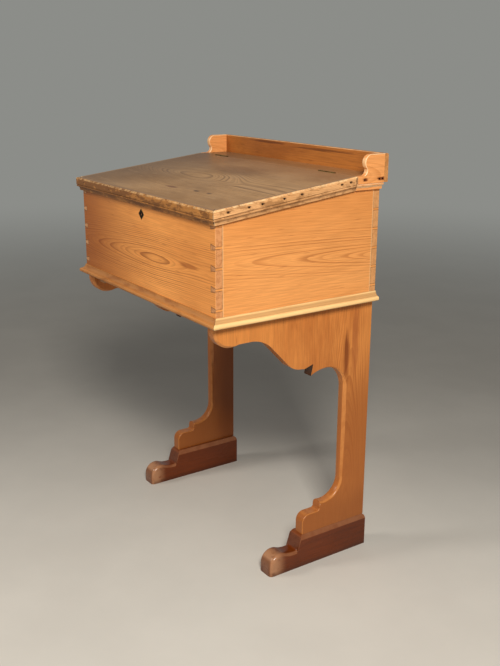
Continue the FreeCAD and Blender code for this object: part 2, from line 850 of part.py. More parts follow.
# ---------------------------------------------------------------- lock
lock_front = box_front + board_t - lock_depth
lock_rear = box_front + board_t
lock_top_z = rim(lock_front) - lock_top_below_rim
lock_bottom_z = lock_top_z - lock_h
keyhole_z = lock_top_z - keyhole_drop
lock_room_front = lock_front + lock_wall
lock_room_rear = lock_rear - lock_wall
link_y = lock_room_rear - link_rear_gap - link_w / 2
link_low_z = lid_under(link_y) - link_drop
hook_z = link_low_z + link_wall + 1.6
bolt_body_top = link_low_z - 2
bolt_body_low = bolt_body_top - bolt_body_h
bolt_left = -link_x - link_t / 2 - bolt_tip_gap - (bolt_travel + link_t + 1) - bolt_post_w


def keyhole(y0, y1):
    """Round eye with a slot below it."""
    eye = rod(keyhole_r, V(0, y0, keyhole_z), V(0, y1, keyhole_z))
    slot = box(-keyhole_slot_w / 2, keyhole_slot_w / 2, y0, y1, keyhole_z - keyhole_slot_l, keyhole_z)
    return joined([eye, slot])


def escutcheon_blank():
    """Lozenge let in flush with the front board."""
    half = escutcheon_size / 2
    return front_prism(box_front - 0.2, box_front + escutcheon_t, (0, keyhole_z - half),
                       (half, keyhole_z), (0, keyhole_z + half), (-half, keyhole_z))


def stumps():
    """Two posts in the lock case that guide the bolt."""
    z = (bolt_body_low + bolt_body_top) / 2 + 3
    return [(x, z) for x in (-link_x, link_x * 0.5)]


def lock_case():
    """Lock case: front wall, rim walls, top plate with two slots, guide posts and drill pin."""
    shell = box(-lock_w / 2, lock_w / 2, lock_front, lock_room_rear, lock_bottom_z, lock_top_z)
    room = box(-lock_w / 2 + lock_wall, lock_w / 2 - lock_wall, lock_room_front, lock_rear,
               lock_bottom_z + lock_wall, lock_top_z - lock_top_t)
    slots = [box(side * link_x - link_t, side * link_x + link_t,
                 lock_room_front + 0.6, lock_room_rear, lock_top_z - 2 * lock_top_t, lock_top_z + 1)
             for side in (-1, 1)]
    case = shell.cut([room, keyhole(lock_front - 1, lock_room_front + 0.1)] + slots)
    posts = [rod(stump_r, V(x, lock_front, z), V(x, lock_room_rear, z)) for x, z in stumps()]
    posts.append(rod(drill_pin_r, V(0, lock_front - 3, keyhole_z), V(0, lock_room_rear - 2, keyhole_z)))
    bridge = box(-keyhole_r - 1, keyhole_r + 1, lock_front, lock_room_front,
                 keyhole_z - drill_pin_r, keyhole_z + drill_pin_r)
    return joined([case] + posts + [bridge])


def lock_cap():
    """Rear plate of the lock with its two flanges, flush with the inside of the front board."""
    reach = lock_w / 2 + lock_flange
    return box(-reach, reach, lock_room_rear, lock_rear, lock_bottom_z, lock_top_z)


def lock_bolt():
    """Sliding bolt: a plate with two hooks that pass through the lid's links."""
    y0 = link_y - bolt_t / 2
    y1 = link_y + bolt_t / 2
    tip_l = bolt_travel + link_t + 1
    body_right = link_x - link_t / 2 - bolt_tip_gap - tip_l + bolt_post_w + 8
    body = box(bolt_left, body_right, y0, y1, bolt_body_low, bolt_body_top)
    pieces = [body]
    for side in (-1, 1):
        tip = side * link_x - link_t / 2 - bolt_tip_gap
        post = tip - tip_l - bolt_post_w
        pieces.append(box(post, post + bolt_post_w, y0, y1, bolt_body_top - 1, hook_z + bolt_hook_h))
        pieces.append(box(post, tip, y0, y1, hook_z, hook_z + bolt_hook_h))
    bolt = joined(pieces)
    room = stump_r + stump_clearance
    ways = []
    for x, z in stumps():
        ways.append(box(x - bolt_travel, x, y0 - 1, y1 + 1, z - room, z + room))
        ways.append(rod(room, V(x, y0 - 1, z), V(x, y1 + 1, z)))
        ways.append(rod(room, V(x - bolt_travel, y0 - 1, z), V(x - bolt_travel, y1 + 1, z)))
    talon = rod(4.5, V(-bolt_travel / 2, y0 - 1, bolt_body_low), V(-bolt_travel / 2, y1 + 1, bolt_body_low))
    return bolt.cut(ways + [talon])


def link_plate_body():
    """Flat part of the link plate, let into the lid's underside."""
    y0 = link_y - link_plate_w / 2
    y1 = link_y + link_plate_w / 2
    return side_prism(-link_plate_l / 2, link_plate_l / 2,
                      (y0, lid_under(y0)), (y1, lid_under(y1)),
                      (y1, lid_under(y1) + link_plate_t), (y0, lid_under(y0) + link_plate_t))


def link_plate():
    """Link plate with its two hanging links."""
    pieces = [link_plate_body()]
    eye_low = link_low_z + link_wall
    eye_high = hook_z + bolt_hook_h + 0.8
    for side in (-1, 1):
        x = side * link_x
        link = box(x - link_t / 2, x + link_t / 2, link_y - link_w / 2, link_y + link_w / 2,
                   link_low_z, lid_under(link_y) + link_plate_t * 0.5)
        eye = box(x - link_t, x + link_t, link_y - link_w / 2 + link_wall, link_y + link_w / 2 - link_wall,
                  eye_low, eye_high)
        pieces.append(link.cut(eye))
    return drilled(joined(pieces), link_plate_screws())


# ---------------------------------------------------------------- standards and feet
def standard_outline():
    """Side view of a standard, from its top front corner round to its rear edge."""
    top = box_underside_z
    lobe = (box_front + lobe_r, top - lobe_shoulder)
    flat_z = top - flat_drop
    lobe_end = (lobe[0] + math.sqrt(lobe_r ** 2 - (lobe[1] - flat_z) ** 2), flat_z)
    lobe_turn = 360 - math.degrees(math.asin((lobe[1] - flat_z) / lobe_r))

    ogee_y = lobe_end[0] + flat_run
    belly_y = belly_end - belly_flat
    run = belly_y - ogee_y
    drop = flat_z - belly_z
    sine, cosine = math.sin(ogee_angle), math.cos(ogee_angle)
    radii = (run * sine - drop * cosine) / (1 - cosine)
    upper_r = radii * ogee_top_share
    lower_r = radii - upper_r
    half = ogee_angle / 2
    upper_mid = (ogee_y + upper_r * math.sin(half), flat_z - upper_r * (1 - math.cos(half)))
    upper_end = (ogee_y + upper_r * sine, flat_z - upper_r * (1 - cosine))
    lower_start = (belly_y - lower_r * sine, belly_z + lower_r * (1 - cosine))
    lower_mid = (belly_y - lower_r * math.sin(half), belly_z + lower_r * (1 - math.cos(half)))

    spur_tip = (spur_y, arch_crown_z - spur_tip_rise)
    spur_top = (spur_y + spur_lean, spur_tip[1] + spur_l)
    spur_r = (spur_reach ** 2 + spur_tip_rise ** 2) / (2 * spur_tip_rise)
    spur_half = math.degrees(math.asin(spur_reach / spur_r)) / 2
    spur_mid = on_circle((arch_y, arch_crown_z - spur_r), spur_r, 90 + spur_half)
    arch_centre = (arch_y, arch_crown_z - arch_r)

    cove = (leg_front - cove_r, foot_h + cove_bottom_h + cove_r)
    tip_turn = math.degrees(math.asin(cove_tip_run / cove_r))
    cove_tip = on_circle(cove, cove_r, 270 - tip_turn)
    step_z = foot_h + step_h
    step_y = cove_tip[0] - step_l
    return [(box_front, top), (box_front, lobe[1]),
            (on_circle(lobe, lobe_r, (180 + lobe_turn) / 2), lobe_end),
            (ogee_y, flat_z), (upper_mid, upper_end), lower_start,
            (lower_mid, (belly_y, belly_z)), (belly_end, belly_z - belly_corner_drop),
            spur_top, spur_tip, (spur_mid, (arch_y, arch_crown_z)),
            (on_circle(arch_centre, arch_r, 45), (leg_front, arch_centre[1])),
            (leg_front, cove[1]),
            (on_circle(cove, cove_r, 360 - 45 - tip_turn / 2), cove_tip),
            (step_y, step_z + step_r),
            (on_circle((step_y - step_r, step_z + step_r), step_r, 315), (step_y - step_r, step_z)),
            (toe_y + toe_r, step_z),
            (on_circle((toe_y + toe_r, step_z - toe_r), toe_r, 135), (toe_y, step_z - toe_r)),
            (toe_y, foot_h), (box_rear, foot_h), (box_rear, top)]


def front_chamfers():
    """What comes off the front arrises: full on leg and cove, less on arch, spur and lobe."""
    arch = (arch_y, arch_crown_z - arch_r)
    cove = (leg_front - cove_r, foot_h + cove_bottom_h + cove_r)
    tip_turn = math.degrees(math.asin(cove_tip_run / cove_r))
    over = chamfer_margin

    def section(centre, radius, degrees, face_x, way, size=leg_chamfer, into_wood=1):
        """Triangle across the arris, at one place on its path."""
        corners = [(-over, over), (size + over, over), (-over, -size - over)]
        ring = []
        for into, out in corners + corners[:1]:
            y, z = on_circle(centre, radius + into_wood * into, degrees)
            ring.append(V(face_x + way * out, y, z))
        return Part.makePolygon(ring)
    spur_r = (spur_reach ** 2 + spur_tip_rise ** 2) / (2 * spur_tip_rise)
    spur = (arch_y, arch_crown_z - spur_r)
    spur_end = 90 + math.degrees(math.asin(spur_reach / spur_r)) + 3
    taper_loss = leg_chamfer - arch_chamfer
    lobe = (box_front + lobe_r, box_underside_z - lobe_shoulder)
    above_lobe = (lobe[0], box_underside_z + over)
    lobe_end = 360 - math.degrees(math.asin((flat_drop - lobe_shoulder) / lobe_r))
    cuts = []
    for face_x, way in ((standard_outer, 1), (standard_inner, -1)):
        stops = [section(arch, arch_r, degrees, face_x, way,
                         leg_chamfer - taper_loss * min(1, degrees / chamfer_stop))
                 for degrees in spread(0, 90, 13)]
        rim = [section(spur, spur_r, degrees, face_x, way, arch_chamfer)
               for degrees in spread(90, spur_end, 5)]
        straight = [stops[0], section(cove, cove_r, 0, face_x, way)]
        nose = [section(lobe, lobe_r, degrees, face_x, way,
                        lobe_chamfer * min(1, (lobe_end - degrees) / lobe_chamfer_stop), -1)
                for degrees in spread(180, lobe_end - 1, 17)]
        shoulder = [section(above_lobe, lobe_r, 180, face_x, way, lobe_chamfer, -1), nose[0]]
        cuts += [Part.makeLoft(ring, True, True) for ring in (stops, rim, straight, nose, shoulder)]
        end = Part.Face(straight[1])
        cuts.append(end.revolve(V(0, cove[0], cove[1]), V(1, 0, 0), -90 - tip_turn))
    return cuts


def standard():
    """Right standard, whole, before it is parted into its two boards."""
    points = standard_outline()
    body = side_prism(standard_inner, standard_outer, points[0], *points[1:])
    return joined([body.cut(front_chamfers()), tenon(0.0)])


def tenon(clearance):
    """Tenon under the right standard, or its mortise with a clearance."""
    middle = (standard_inner + standard_outer) / 2
    half = tenon_t / 2 + clearance
    return box(middle - half, middle + half,
               toe_y + tenon_shoulder - clearance, box_rear - tenon_shoulder + clearance,
               foot_h - tenon_h - clearance, foot_h)


def standard_front_zone():
    """Room in front of the glue line between a standard's two boards."""
    return box(0, box_width, box_front - 1, board_joint_y, (foot_h + arch_crown_z) / 2, box_underside_z + 1)


def bearer():
    """Bearer in the angle between the right standard and the box bottom."""
    return box(standard_inner - bearer_w, standard_inner,
               box_front + bearer_end_gap, box_rear - bearer_end_gap,
               box_underside_z - bearer_h, box_underside_z)


def foot():
    """Right foot: domed nose, instep, bevelled top and mortise for the standard."""
    low = instep_h
    dome = (foot_nose + nose_r, nose_crown_h - nose_r)
    blend_z = low + instep_blend_r
    reach = nose_r + instep_blend_r
    blend = (dome[0] + math.sqrt(reach ** 2 - (blend_z - dome[1]) ** 2), blend_z)
    share = nose_r / reach
    meet = (dome[0] + (blend[0] - dome[0]) * share, dome[1] + (blend[1] - dome[1]) * share)
    meet_turn = math.degrees(math.atan2(meet[1] - dome[1], meet[0] - dome[0]))
    blend_turn = math.degrees(math.atan2(meet[1] - blend[1], meet[0] - blend[0])) % 360
    top_y = toe_y - foot_margin
    step_y = top_y - foot_front_bevel_l
    riser_foot = (step_y - riser_lean, low + instep_r * (1 - math.cos(riser_blend)))
    instep = (riser_foot[0] - instep_r * math.sin(riser_blend), low)
    hollow = (instep[0] + instep_r * math.sin(riser_blend / 2),
              low + instep_r * (1 - math.cos(riser_blend / 2)))
    body = side_prism(foot_inner, foot_outer,
                      (foot_nose, 0), (foot_nose, dome[1]),
                      (on_circle(dome, nose_r, (180 + meet_turn) / 2), meet),
                      (on_circle(blend, instep_blend_r, (blend_turn + 270) / 2), (blend[0], low)),
                      instep, (hollow, riser_foot),
                      (step_y, foot_h - foot_front_bevel_h),
                      (top_y, foot_h),
                      (heel_y - heel_r, foot_h),
                      (on_circle((heel_y - heel_r, foot_h - heel_r), heel_r, 45),
                       (heel_y, foot_h - heel_r)),
                      (heel_y, 0))
    soft = [edge for edge in body.Edges
            if edge.BoundBox.YMax < riser_foot[0] + 1e-3 and edge.BoundBox.ZMax > 1.0
            and edge.BoundBox.XLength < 1e-6]
    body = body.makeFillet(foot_arris_r, soft)
    top = foot_h
    for outer, way in ((foot_outer, -1), (foot_inner, 1)):
        wedge = front_prism(foot_nose, heel_y + 1, (outer, top - foot_bevel_h),
                            (outer + way * foot_bevel_w, top), (outer + way * foot_bevel_w, top + 1),
                            (outer - way, top + 1), (outer - way, top - foot_bevel_h))
        body = body.cut(wedge)
    x = (standard_inner + standard_outer) / 2
    wells = [rod(screw_head_r + 0.5, V(x, y, -1), V(x, y, foot_screw_well)) for y in foot_screw_ys()]
    return drilled(body.cut([tenon(joint_clearance)] + wells), foot_screws())


# ---------------------------------------------------------------- write every node
def main():
    os.makedirs("parts", exist_ok=True)

    save("front_board", drilled(front_board(), lock_screws() + base_brads() + escutcheon_pins()))
    save("back_board", drilled(back_board(), shelf_nails()))
    save_pair("side_board", drilled(side_board(),
                                    bottom_nails() + base_brads() + end_moulding_brads() + shelf_nails()))
    for place, board in zip(bottom_board_names, bottom_boards()):
        save(f"bottom_board_{place}", drilled(board, bottom_nails() + base_brads() + bearer_screws()))

    save("base_moulding_front", drilled(base_front(), base_brads()))
    save_pair("base_moulding", drilled(base_side(), base_brads()))
    save("rear_shelf", drilled(shelf(), shelf_nails() + gallery_nails() + hinge_screws(1)))
    save("gallery_backboard", drilled(gallery_back(), gallery_nails()))
    save_pair("gallery_bracket", drilled(gallery_bracket(), gallery_nails()))
    save_pair("shelf_end_moulding", drilled(shelf_end_moulding(), end_moulding_brads()))

    for place, board in zip(lid_board_names, lid_boards()):
        save(f"lid_board_{place}",
             drilled(board, lid_edge_nails() + batten_screws() + hinge_screws(-1) + link_plate_screws()))
    save("lid_edge_front", drilled(edge_front(), lid_edge_nails()))
    save_pair("lid_edge", drilled(edge_side(), lid_edge_nails()))
    save_pair("lid_batten", drilled(lid_batten(), batten_screws()))

    for side, hand in ((1, "right"), (-1, "left")):
        save(f"hinge_shelf_leaf_{hand}", hinge_leaf(side * hinge_x, 1))
        save(f"hinge_lid_leaf_{hand}", hinge_leaf(side * hinge_x, -1))
        save(f"hinge_pin_{hand}", hinge_pin(side * hinge_x))

    save("lock_case", lock_case())
    save("lock_cap", drilled(lock_cap(), lock_screws()))
    save("lock_bolt", lock_bolt())
    save("link_plate", link_plate())
    save("keyhole_escutcheon", drilled(escutcheon_blank().cut(keyhole(box_front - 1, box_front + board_t)),
                                       escutcheon_pins()))

    whole = standard()
    front_zone = standard_front_zone()
    save_pair("standard_rear_board", drilled(whole.cut(front_zone), foot_screws() + bearer_screws()))
    save_pair("standard_front_board", drilled(whole.common(front_zone), bearer_screws()))
    save_pair("standard_bearer", drilled(bearer(), bearer_screws()))
    save_pair("foot", foot())

    save("base_brads", *base_brads())
    save("bottom_nails", *bottom_nails())
    save("shelf_nails", *shelf_nails())
    save("gallery_nails", *gallery_nails())
    save("end_moulding_brads", *end_moulding_brads())
    save("lid_edge_nails", *lid_edge_nails())
    save("batten_screws", *batten_screws())
    save("bearer_screws", *bearer_screws())
    save("foot_screws", *foot_screws())
    save("hinge_screws_shelf", *hinge_screws(1))
    save("hinge_screws_lid", *hinge_screws(-1))
    save("lock_screws", *lock_screws())
    save("link_plate_screws", *link_plate_screws())
    save("escutcheon_pins", *escutcheon_pins())


main()
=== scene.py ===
# %% [markdown]
# # A pine school desk with a lift lid
# The desk is a dovetailed pine box with a sloping lid and a low gallery. It stands on two
# shaped standards with long dark feet. The engineering model already has every joint and
# outline, so this lesson is about what a workshop and a century of use add to it: eased
# arrises, worn and chipped edges, and above all the look of the wood.
#
# Its boards are the desk's real sizes, in metres, with the origin on the floor.

# %% Load the frame
import json
import math
import random

import bmesh
import bpy
from mathutils import Matrix, Vector

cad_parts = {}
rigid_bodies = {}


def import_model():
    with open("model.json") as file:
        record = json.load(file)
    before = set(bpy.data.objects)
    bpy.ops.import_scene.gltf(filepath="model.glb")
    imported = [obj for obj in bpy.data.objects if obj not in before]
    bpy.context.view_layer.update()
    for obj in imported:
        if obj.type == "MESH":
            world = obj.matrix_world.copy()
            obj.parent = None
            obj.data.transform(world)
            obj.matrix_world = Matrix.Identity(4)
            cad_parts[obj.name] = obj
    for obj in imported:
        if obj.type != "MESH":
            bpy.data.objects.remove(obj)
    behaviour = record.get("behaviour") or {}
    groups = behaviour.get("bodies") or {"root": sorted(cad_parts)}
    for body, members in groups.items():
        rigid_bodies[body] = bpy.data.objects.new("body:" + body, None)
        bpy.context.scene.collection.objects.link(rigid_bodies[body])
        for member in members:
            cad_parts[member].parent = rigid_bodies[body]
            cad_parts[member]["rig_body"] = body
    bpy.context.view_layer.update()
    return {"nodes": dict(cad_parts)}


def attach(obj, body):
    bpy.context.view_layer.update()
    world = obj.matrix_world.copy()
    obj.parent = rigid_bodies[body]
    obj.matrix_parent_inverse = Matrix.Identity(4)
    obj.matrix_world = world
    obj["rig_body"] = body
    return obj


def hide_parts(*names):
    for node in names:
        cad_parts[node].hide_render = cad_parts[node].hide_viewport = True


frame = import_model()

nodes = frame["nodes"]

# %% [markdown]
# ## Where we stand
# The eye is a little above the lid, in front of the desk's right corner and some 2.3 metres
# from its middle. A 48 mm lens on a full frame gives the mild perspective that the eye
# expects of furniture. The camera is turned by three unit vectors: right, up and back.
# Built by hand, they keep the tiny roll of a handheld camera.

# %% Camera
eye = Vector((1.937, -1.2345, 1.245))
swing = math.radians(55.59)
tip_down = math.radians(16.79)
roll = math.radians(0.28)

back = Vector((math.sin(swing) * math.cos(tip_down), -math.cos(swing) * math.cos(tip_down),
               math.sin(tip_down)))
level_right = Vector((math.cos(swing), math.sin(swing), 0.0))
level_up = back.cross(level_right)
right = level_right * math.cos(roll) + level_up * math.sin(roll)
up = level_up * math.cos(roll) - level_right * math.sin(roll)

lens = bpy.data.cameras.new("camera")
lens.sensor_width = 36.0
lens.lens = 47.94
camera = bpy.data.objects.new("camera", lens)
bpy.context.scene.collection.objects.link(camera)
camera.matrix_world = Matrix((right, up, back)).transposed().to_4x4()
camera.location = eye
bpy.context.scene.camera = camera
bpy.context.scene.view_settings.view_transform = "Standard"
print("camera at", [round(v, 3) for v in eye])

# %% [markdown]
# ## Small helpers
# Colours are easiest to choose as the six hex digits of a paint chart. Blender wants
# linear numbers, so they are converted once, here. The class below builds a material from
# shader nodes with short calls, so that a recipe later reads like arithmetic.

# %% Colour and shader helpers


def srgb(code):
    """A colour written as six hex digits, as Blender's linear numbers."""
    parts = [int(code[i:i + 2], 16) / 255 for i in (0, 2, 4)]
    return tuple(p / 12.92 if p <= 0.04045 else ((p + 0.055) / 1.055) ** 2.4 for p in parts) + (1.0,)


def clear_selection():
    """Nothing selected, in object mode."""
    if bpy.context.object and bpy.context.object.mode != "OBJECT":
        bpy.ops.object.mode_set(mode="OBJECT")
    bpy.ops.object.select_all(action="DESELECT")


class Paint:
    """Builds one material; holds its node tree and the sockets worth sharing."""

    def __init__(self, name):
        self.material = bpy.data.materials.new(name)
        self.material.use_nodes = True
        self.tree = self.material.node_tree
        self.shader = self.tree.nodes["Principled BSDF"]
        spot = self.new("TexCoord")
        self.object = spot.outputs["Object"]
        self.normal = spot.outputs["Normal"]

    def new(self, kind):
        """A new shader node."""
        return self.tree.nodes.new("ShaderNode" + kind)

    def put(self, made, socket, value):
        """Links a socket, or sets a constant on it."""
        if isinstance(value, bpy.types.NodeSocket):
            self.tree.links.new(value, made.inputs[socket])
        else:
            made.inputs[socket].default_value = value

    def shade(self, socket, value):
        """Sets or links one input of the Principled shader."""
        self.put(self.shader, socket, value)

    def sum(self, operation, *values):
        """One Math node."""
        made = self.new("Math")
        made.operation = operation
        for i, value in enumerate(values):
            self.put(made, i, value)
        return made.outputs[0]

    def times(self, *values):
        """Several numbers multiplied."""
        product = values[0]
        for value in values[1:]:
            product = self.sum("MULTIPLY", product, value)
        return product

    def distance(self, *parts):
        """How far off a point is, from its distances along the axes."""
        total = self.times(parts[0], parts[0])
        for part in parts[1:]:
            total = self.sum("ADD", total, self.times(part, part))
        return self.sum("SQRT", total)

    def vector(self, x, y, z):
        """Three numbers as a vector."""
        made = self.new("CombineXYZ")
        for i, value in enumerate((x, y, z)):
            self.put(made, i, value)
        return made.outputs[0]

    def split(self, socket):
        """A vector as three numbers."""
        made = self.new("SeparateXYZ")
        self.put(made, 0, socket)
        return list(made.outputs)

    def noise(self, where, scale, detail, rough=0.55):
        """Noise from 0 to 1 about 0.5; the second output holds three of them."""
        made = self.new("TexNoise")
        self.put(made, "Vector", where)
        self.put(made, "Scale", scale)
        self.put(made, "Detail", detail)
        self.put(made, "Roughness", rough)
        return made.outputs["Fac"], made.outputs["Color"]

    def fade(self, value, low, high, to_low=0.0, to_high=1.0):
        """A smooth step from low to high."""
        made = self.new("MapRange")
        made.interpolation_type = "SMOOTHSTEP"
        self.put(made, "Value", value)
        ends = zip(("From Min", "From Max", "To Min", "To Max"), (low, high, to_low, to_high))
        for socket, number in ends:
            self.put(made, socket, number)
        return made.outputs["Result"]

    def minus(self, first, second):
        """The difference of two numbers."""
        return self.sum("SUBTRACT", first, second)

    def size(self, value):
        """A number without its sign."""
        return self.sum("ABSOLUTE", value)

    def near(self, value, middle, outer, inner):
        """1 within `inner` of a middle value and 0 beyond `outer`."""
        return self.fade(self.size(self.minus(value, middle)), outer, inner)

    def between(self, value, rises, risen, falls, fallen):
        """0, up to 1 over a stretch of values, and down to 0 again."""
        return self.times(self.fade(value, rises, risen), self.fade(value, fallen, falls))

    def patches(self, where, scale, detail, low, high, to_low=0.0, to_high=1.0, rough=0.55):
        """Soft patches: noise drawn out between two of its values."""
        return self.fade(self.noise(where, scale, detail, rough)[0], low, high, to_low, to_high)

    def stain(self, colour, factor, code):
        """A colour stained with another, written as six hex digits."""
        return self.mix(factor, colour, srgb(code))

    def mix(self, factor, first, second, blend="MIX"):
        """Two colours mixed. Sockets 6, 7 and output 2 are the node's colours."""
        made = self.new("Mix")
        made.data_type = "RGBA"
        made.blend_type = blend
        self.put(made, 0, factor)
        self.put(made, 6, first)
        self.put(made, 7, second)
        return made.outputs[2]

    def chance(self, number):
        """A random value for each whole number."""
        made = self.new("TexWhiteNoise")
        made.noise_dimensions = "1D"
        self.put(made, "W", number)
        return made.outputs["Value"]


print("helpers ready")

# %% [markdown]
# ## The studio
# Furniture is best shown on a plain pale floor that runs off into a plain grey, so that
# the only pattern in the picture is the wood. The floor is one very large sheet. Behind the
# desk its colour carries a painted shade, so that the legs stand out against it. Far from
# the desk its finish turns, for the camera and for reflections only, into the same grey as
# the air, and no horizon shows from any side.

# %% Floor and backdrop
backdrop_grey = (0.262, 0.267, 0.250, 1.0)
floor_colour = (0.66, 0.62, 0.55, 1.0)
floor_near = 1.3
floor_far = 6.5
# The painted shade behind the desk: how dark it makes the floor's colour, which way it deepens and
# where it runs.
floor_painted_shade = 0.55
shade_way = (-0.82, 0.57)
shade_starts = -0.5
shade_ends = 1.3
air_strength = 0.15


def seen_ray(tree):
    """1 for rays from the camera and in reflections, 0 for the light itself."""
    path = tree.nodes.new("ShaderNodeLightPath")
    either = path.outputs["Is Camera Ray"]
    for other in ("Is Glossy Ray", "Is Transmission Ray"):
        most = tree.nodes.new("ShaderNodeMath")
        most.operation = "MAXIMUM"
        tree.links.new(either, most.inputs[0])
        tree.links.new(path.outputs[other], most.inputs[1])
        either = most.outputs[0]
    return either


clear_selection()
bpy.ops.mesh.primitive_plane_add(size=80.0)
floor = bpy.context.object
floor.name = "floor"
ground = Paint("floor_paint")
floor_x, floor_y, _ = ground.split(ground.object)
radius = ground.distance(floor_x, floor_y)
mottle = ground.patches(ground.object, 3.0, 5.0, 0.3, 0.7, 0.97, 1.03)
# Painted shade: the floor's colour darkens towards the back left, behind the desk.
shade_depth = ground.sum("ADD", ground.times(floor_x, shade_way[0]), ground.times(floor_y, shade_way[1]))
floor_shade = ground.fade(shade_depth, shade_starts, shade_ends, 1.0, floor_painted_shade)
floor_tint = ground.new("HueSaturation")
ground.put(floor_tint, "Color", floor_colour)
ground.put(floor_tint, "Value", ground.times(mottle, floor_shade))
ground.shade("Base Color", floor_tint.outputs["Color"])
ground.shade("Roughness", 0.7)
ground.shade("Specular IOR Level", 0.25)
glow = ground.new("Emission")
ground.put(glow, "Color", backdrop_grey)
blend = ground.new("MixShader")
away = ground.times(ground.fade(radius, floor_near, floor_far), seen_ray(ground.tree))
ground.put(blend, 0, away)
ground.put(blend, 1, ground.shader.outputs[0])
ground.put(blend, 2, glow.outputs[0])
ground.put(ground.tree.nodes["Material Output"], "Surface", blend.outputs[0])
floor.data.materials.append(ground.material)

world = bpy.data.worlds.new("studio_air")
world.use_nodes = True
air = world.node_tree
daylight = air.nodes["Background"]
daylight.inputs["Color"].default_value = (0.97, 0.98, 1.0, 1.0)
daylight.inputs["Strength"].default_value = air_strength
shown = air.nodes.new("ShaderNodeBackground")
shown.inputs["Color"].default_value = backdrop_grey
choose = air.nodes.new("ShaderNodeMixShader")
air.links.new(seen_ray(air), choose.inputs[0])
air.links.new(daylight.outputs[0], choose.inputs[1])
air.links.new(shown.outputs[0], choose.inputs[2])
air.links.new(choose.outputs[0], air.nodes["World Output"].inputs["Surface"])
bpy.context.scene.world = world
print("floor fades to the backdrop between", floor_near, "and", floor_far, "m")

# %% [markdown]
# ## Light
# Two large soft lamps stand either side of the eye. The one on the right is the stronger,
# so the desk's right side is the brighter face and the front a step darker, and the corner
# between them reads clearly. It stands close enough for the front to darken gently towards
# its far end, and a painted shade in the front's colour deepens that. A weak, even air light
# fills the shadows under the box.

# %% Lamps


def soft_lamp(name, place, size, power, colour):
    """A square area lamp that looks at the middle of the desk."""
    data = bpy.data.lights.new(name, "AREA")
    data.size = size
    data.energy = power
    data.color = colour
    lamp = bpy.data.objects.new(name, data)
    bpy.context.scene.collection.objects.link(lamp)
    lamp.location = place
    look = middle_of_desk - lamp.location
    lamp.rotation_euler = look.to_track_quat("-Z", "Y").to_euler()


middle_of_desk = Vector((0.0, 0.0, 0.75))
soft_lamp("lamp_right", (2.75, -1.45, 2.75), size=0.9, power=136.0, colour=(1.0, 0.97, 0.92))
soft_lamp("lamp_left", (-1.6, -3.4, 2.9), size=1.1, power=50.0, colour=(1.0, 0.97, 0.93))
print("lamps: 2, air light", air_strength)

# %% [markdown]
# ## How pine is drawn
# A board is a flat slice through a stack of nested cones, the tree's yearly rings. If a
# material measures how far each point is from the tree's heart and draws a line for every
# year, the faces, the edges and the end grain all agree, as they do on a sawn board. A
# picture wrapped round the board never does that.
#
# The steps for each point are: measure along, across and into the board; bend the heart's
# line a little, so that the rings close into long ellipses or arches; add a slow noise
# stretched along the grain; divide by the ring width; and turn each ring's position into
# pale spring wood that darkens to a thin brown summer line. Some years are strong, some are
# less so, and fine lines lie between them.

# %% Yearly rings
sway_stretch = 0.16
lines_per_year = 3.0


def rings(along, across, behind, ring, wander=0.005, **more):
    """One board's figure: where the tree's heart lies and how the rings run.

    `along` and `across` place the heart on the board, `behind` is its depth under the face
    and `ring` the width of a year. `wander` and `lumps` make the lines waver: how far and
    how often. `tilt`, `bow`, `rise` and `skew` bend the heart's line, and a `power` below 1
    widens the rings away from it. `turn` sets how pointed the arches are: 2 makes them
    round, nearer 1 makes them sharp. `thin` is the share of a year that stays pale.
    """
    plan = dict(tilt=0.0, bow=0.0, rise=0.0, skew=0.0, power=1.0, lumps=9.0, turn=2.0, thin=0.42)
    plan.update(along=along, across=across, behind=behind, ring=ring, wander=wander, **more)
    return plan


def ring_lines(wood, along, across, into, plan):
    """Darkness of the yearly lines at a point, from 0 to 1."""
    slow = wood.vector(wood.times(along, sway_stretch), across, into)
    drift = wood.split(wood.noise(slow, plan["lumps"], 2.0)[1])
    sway = [wood.times(wood.minus(part, 0.5), 2 * plan["wander"]) for part in drift[:2]]
    a = wood.minus(along, plan["along"])
    b = wood.sum("ADD", wood.minus(across, plan["across"]), sway[0])
    b = wood.sum("MULTIPLY_ADD", a, plan["skew"], b)
    c = wood.sum("ADD", wood.minus(plan["behind"], into), sway[1])
    c = wood.sum("MULTIPLY_ADD", a, plan["tilt"], c)
    before = wood.sum("POWER", wood.sum("MAXIMUM", wood.times(a, -1.0), 0.0), plan["turn"])
    c = wood.sum("MULTIPLY_ADD", before, plan["bow"], c)
    c = wood.sum("ADD", c, wood.fade(a, 0.0, 0.2, 0.0, plan["rise"]))
    reach = wood.distance(b, c)
    depth = wood.sum("DIVIDE", wood.minus(reach, plan["behind"]), plan["ring"])
    depth = wood.sum("POWER", wood.size(depth), plan["power"])
    uneven = wood.noise(wood.vector(depth, 0.0, 0.0), 0.45, 1.0)[0]
    years = wood.sum("ADD", depth, wood.times(uneven, 0.8))

    position = wood.sum("FRACT", years)
    strength = wood.sum("MULTIPLY_ADD", wood.chance(wood.sum("FLOOR", years)), 0.60, 0.40)
    main = wood.times(wood.between(position, plan["thin"], 0.93, 0.95, 1.0), strength)
    thirds = wood.times(years, lines_per_year)
    small = wood.sum("FRACT", thirds)
    faint = wood.sum("MULTIPLY_ADD", wood.chance(wood.sum("FLOOR", thirds)), 0.36, 0.06)
    fine = wood.times(wood.between(small, 0.3, 0.85, 0.9, 1.0), faint)
    return wood.sum("MAXIMUM", main, fine)


# %% [markdown]
# ## One recipe, many boards
# Every board on the desk gets its own figure and colours from this recipe. On top of the
# yearly lines come patches of wax and handling, fibres, short resin flecks, knots and
# stains, paler wood where the arrises are rubbed, and an end grain that has drunk dirt
# unevenly.
#
# `axes` names the directions along the grain, across the face and into the board. A colour
# that is the same all over would look like plastic, so even the hidden pieces use it.

# %% The pine recipe
cloud_stretch = 0.45
fibre_stretch = 0.035
fleck_stretch = 0.10
end_share = 0.72


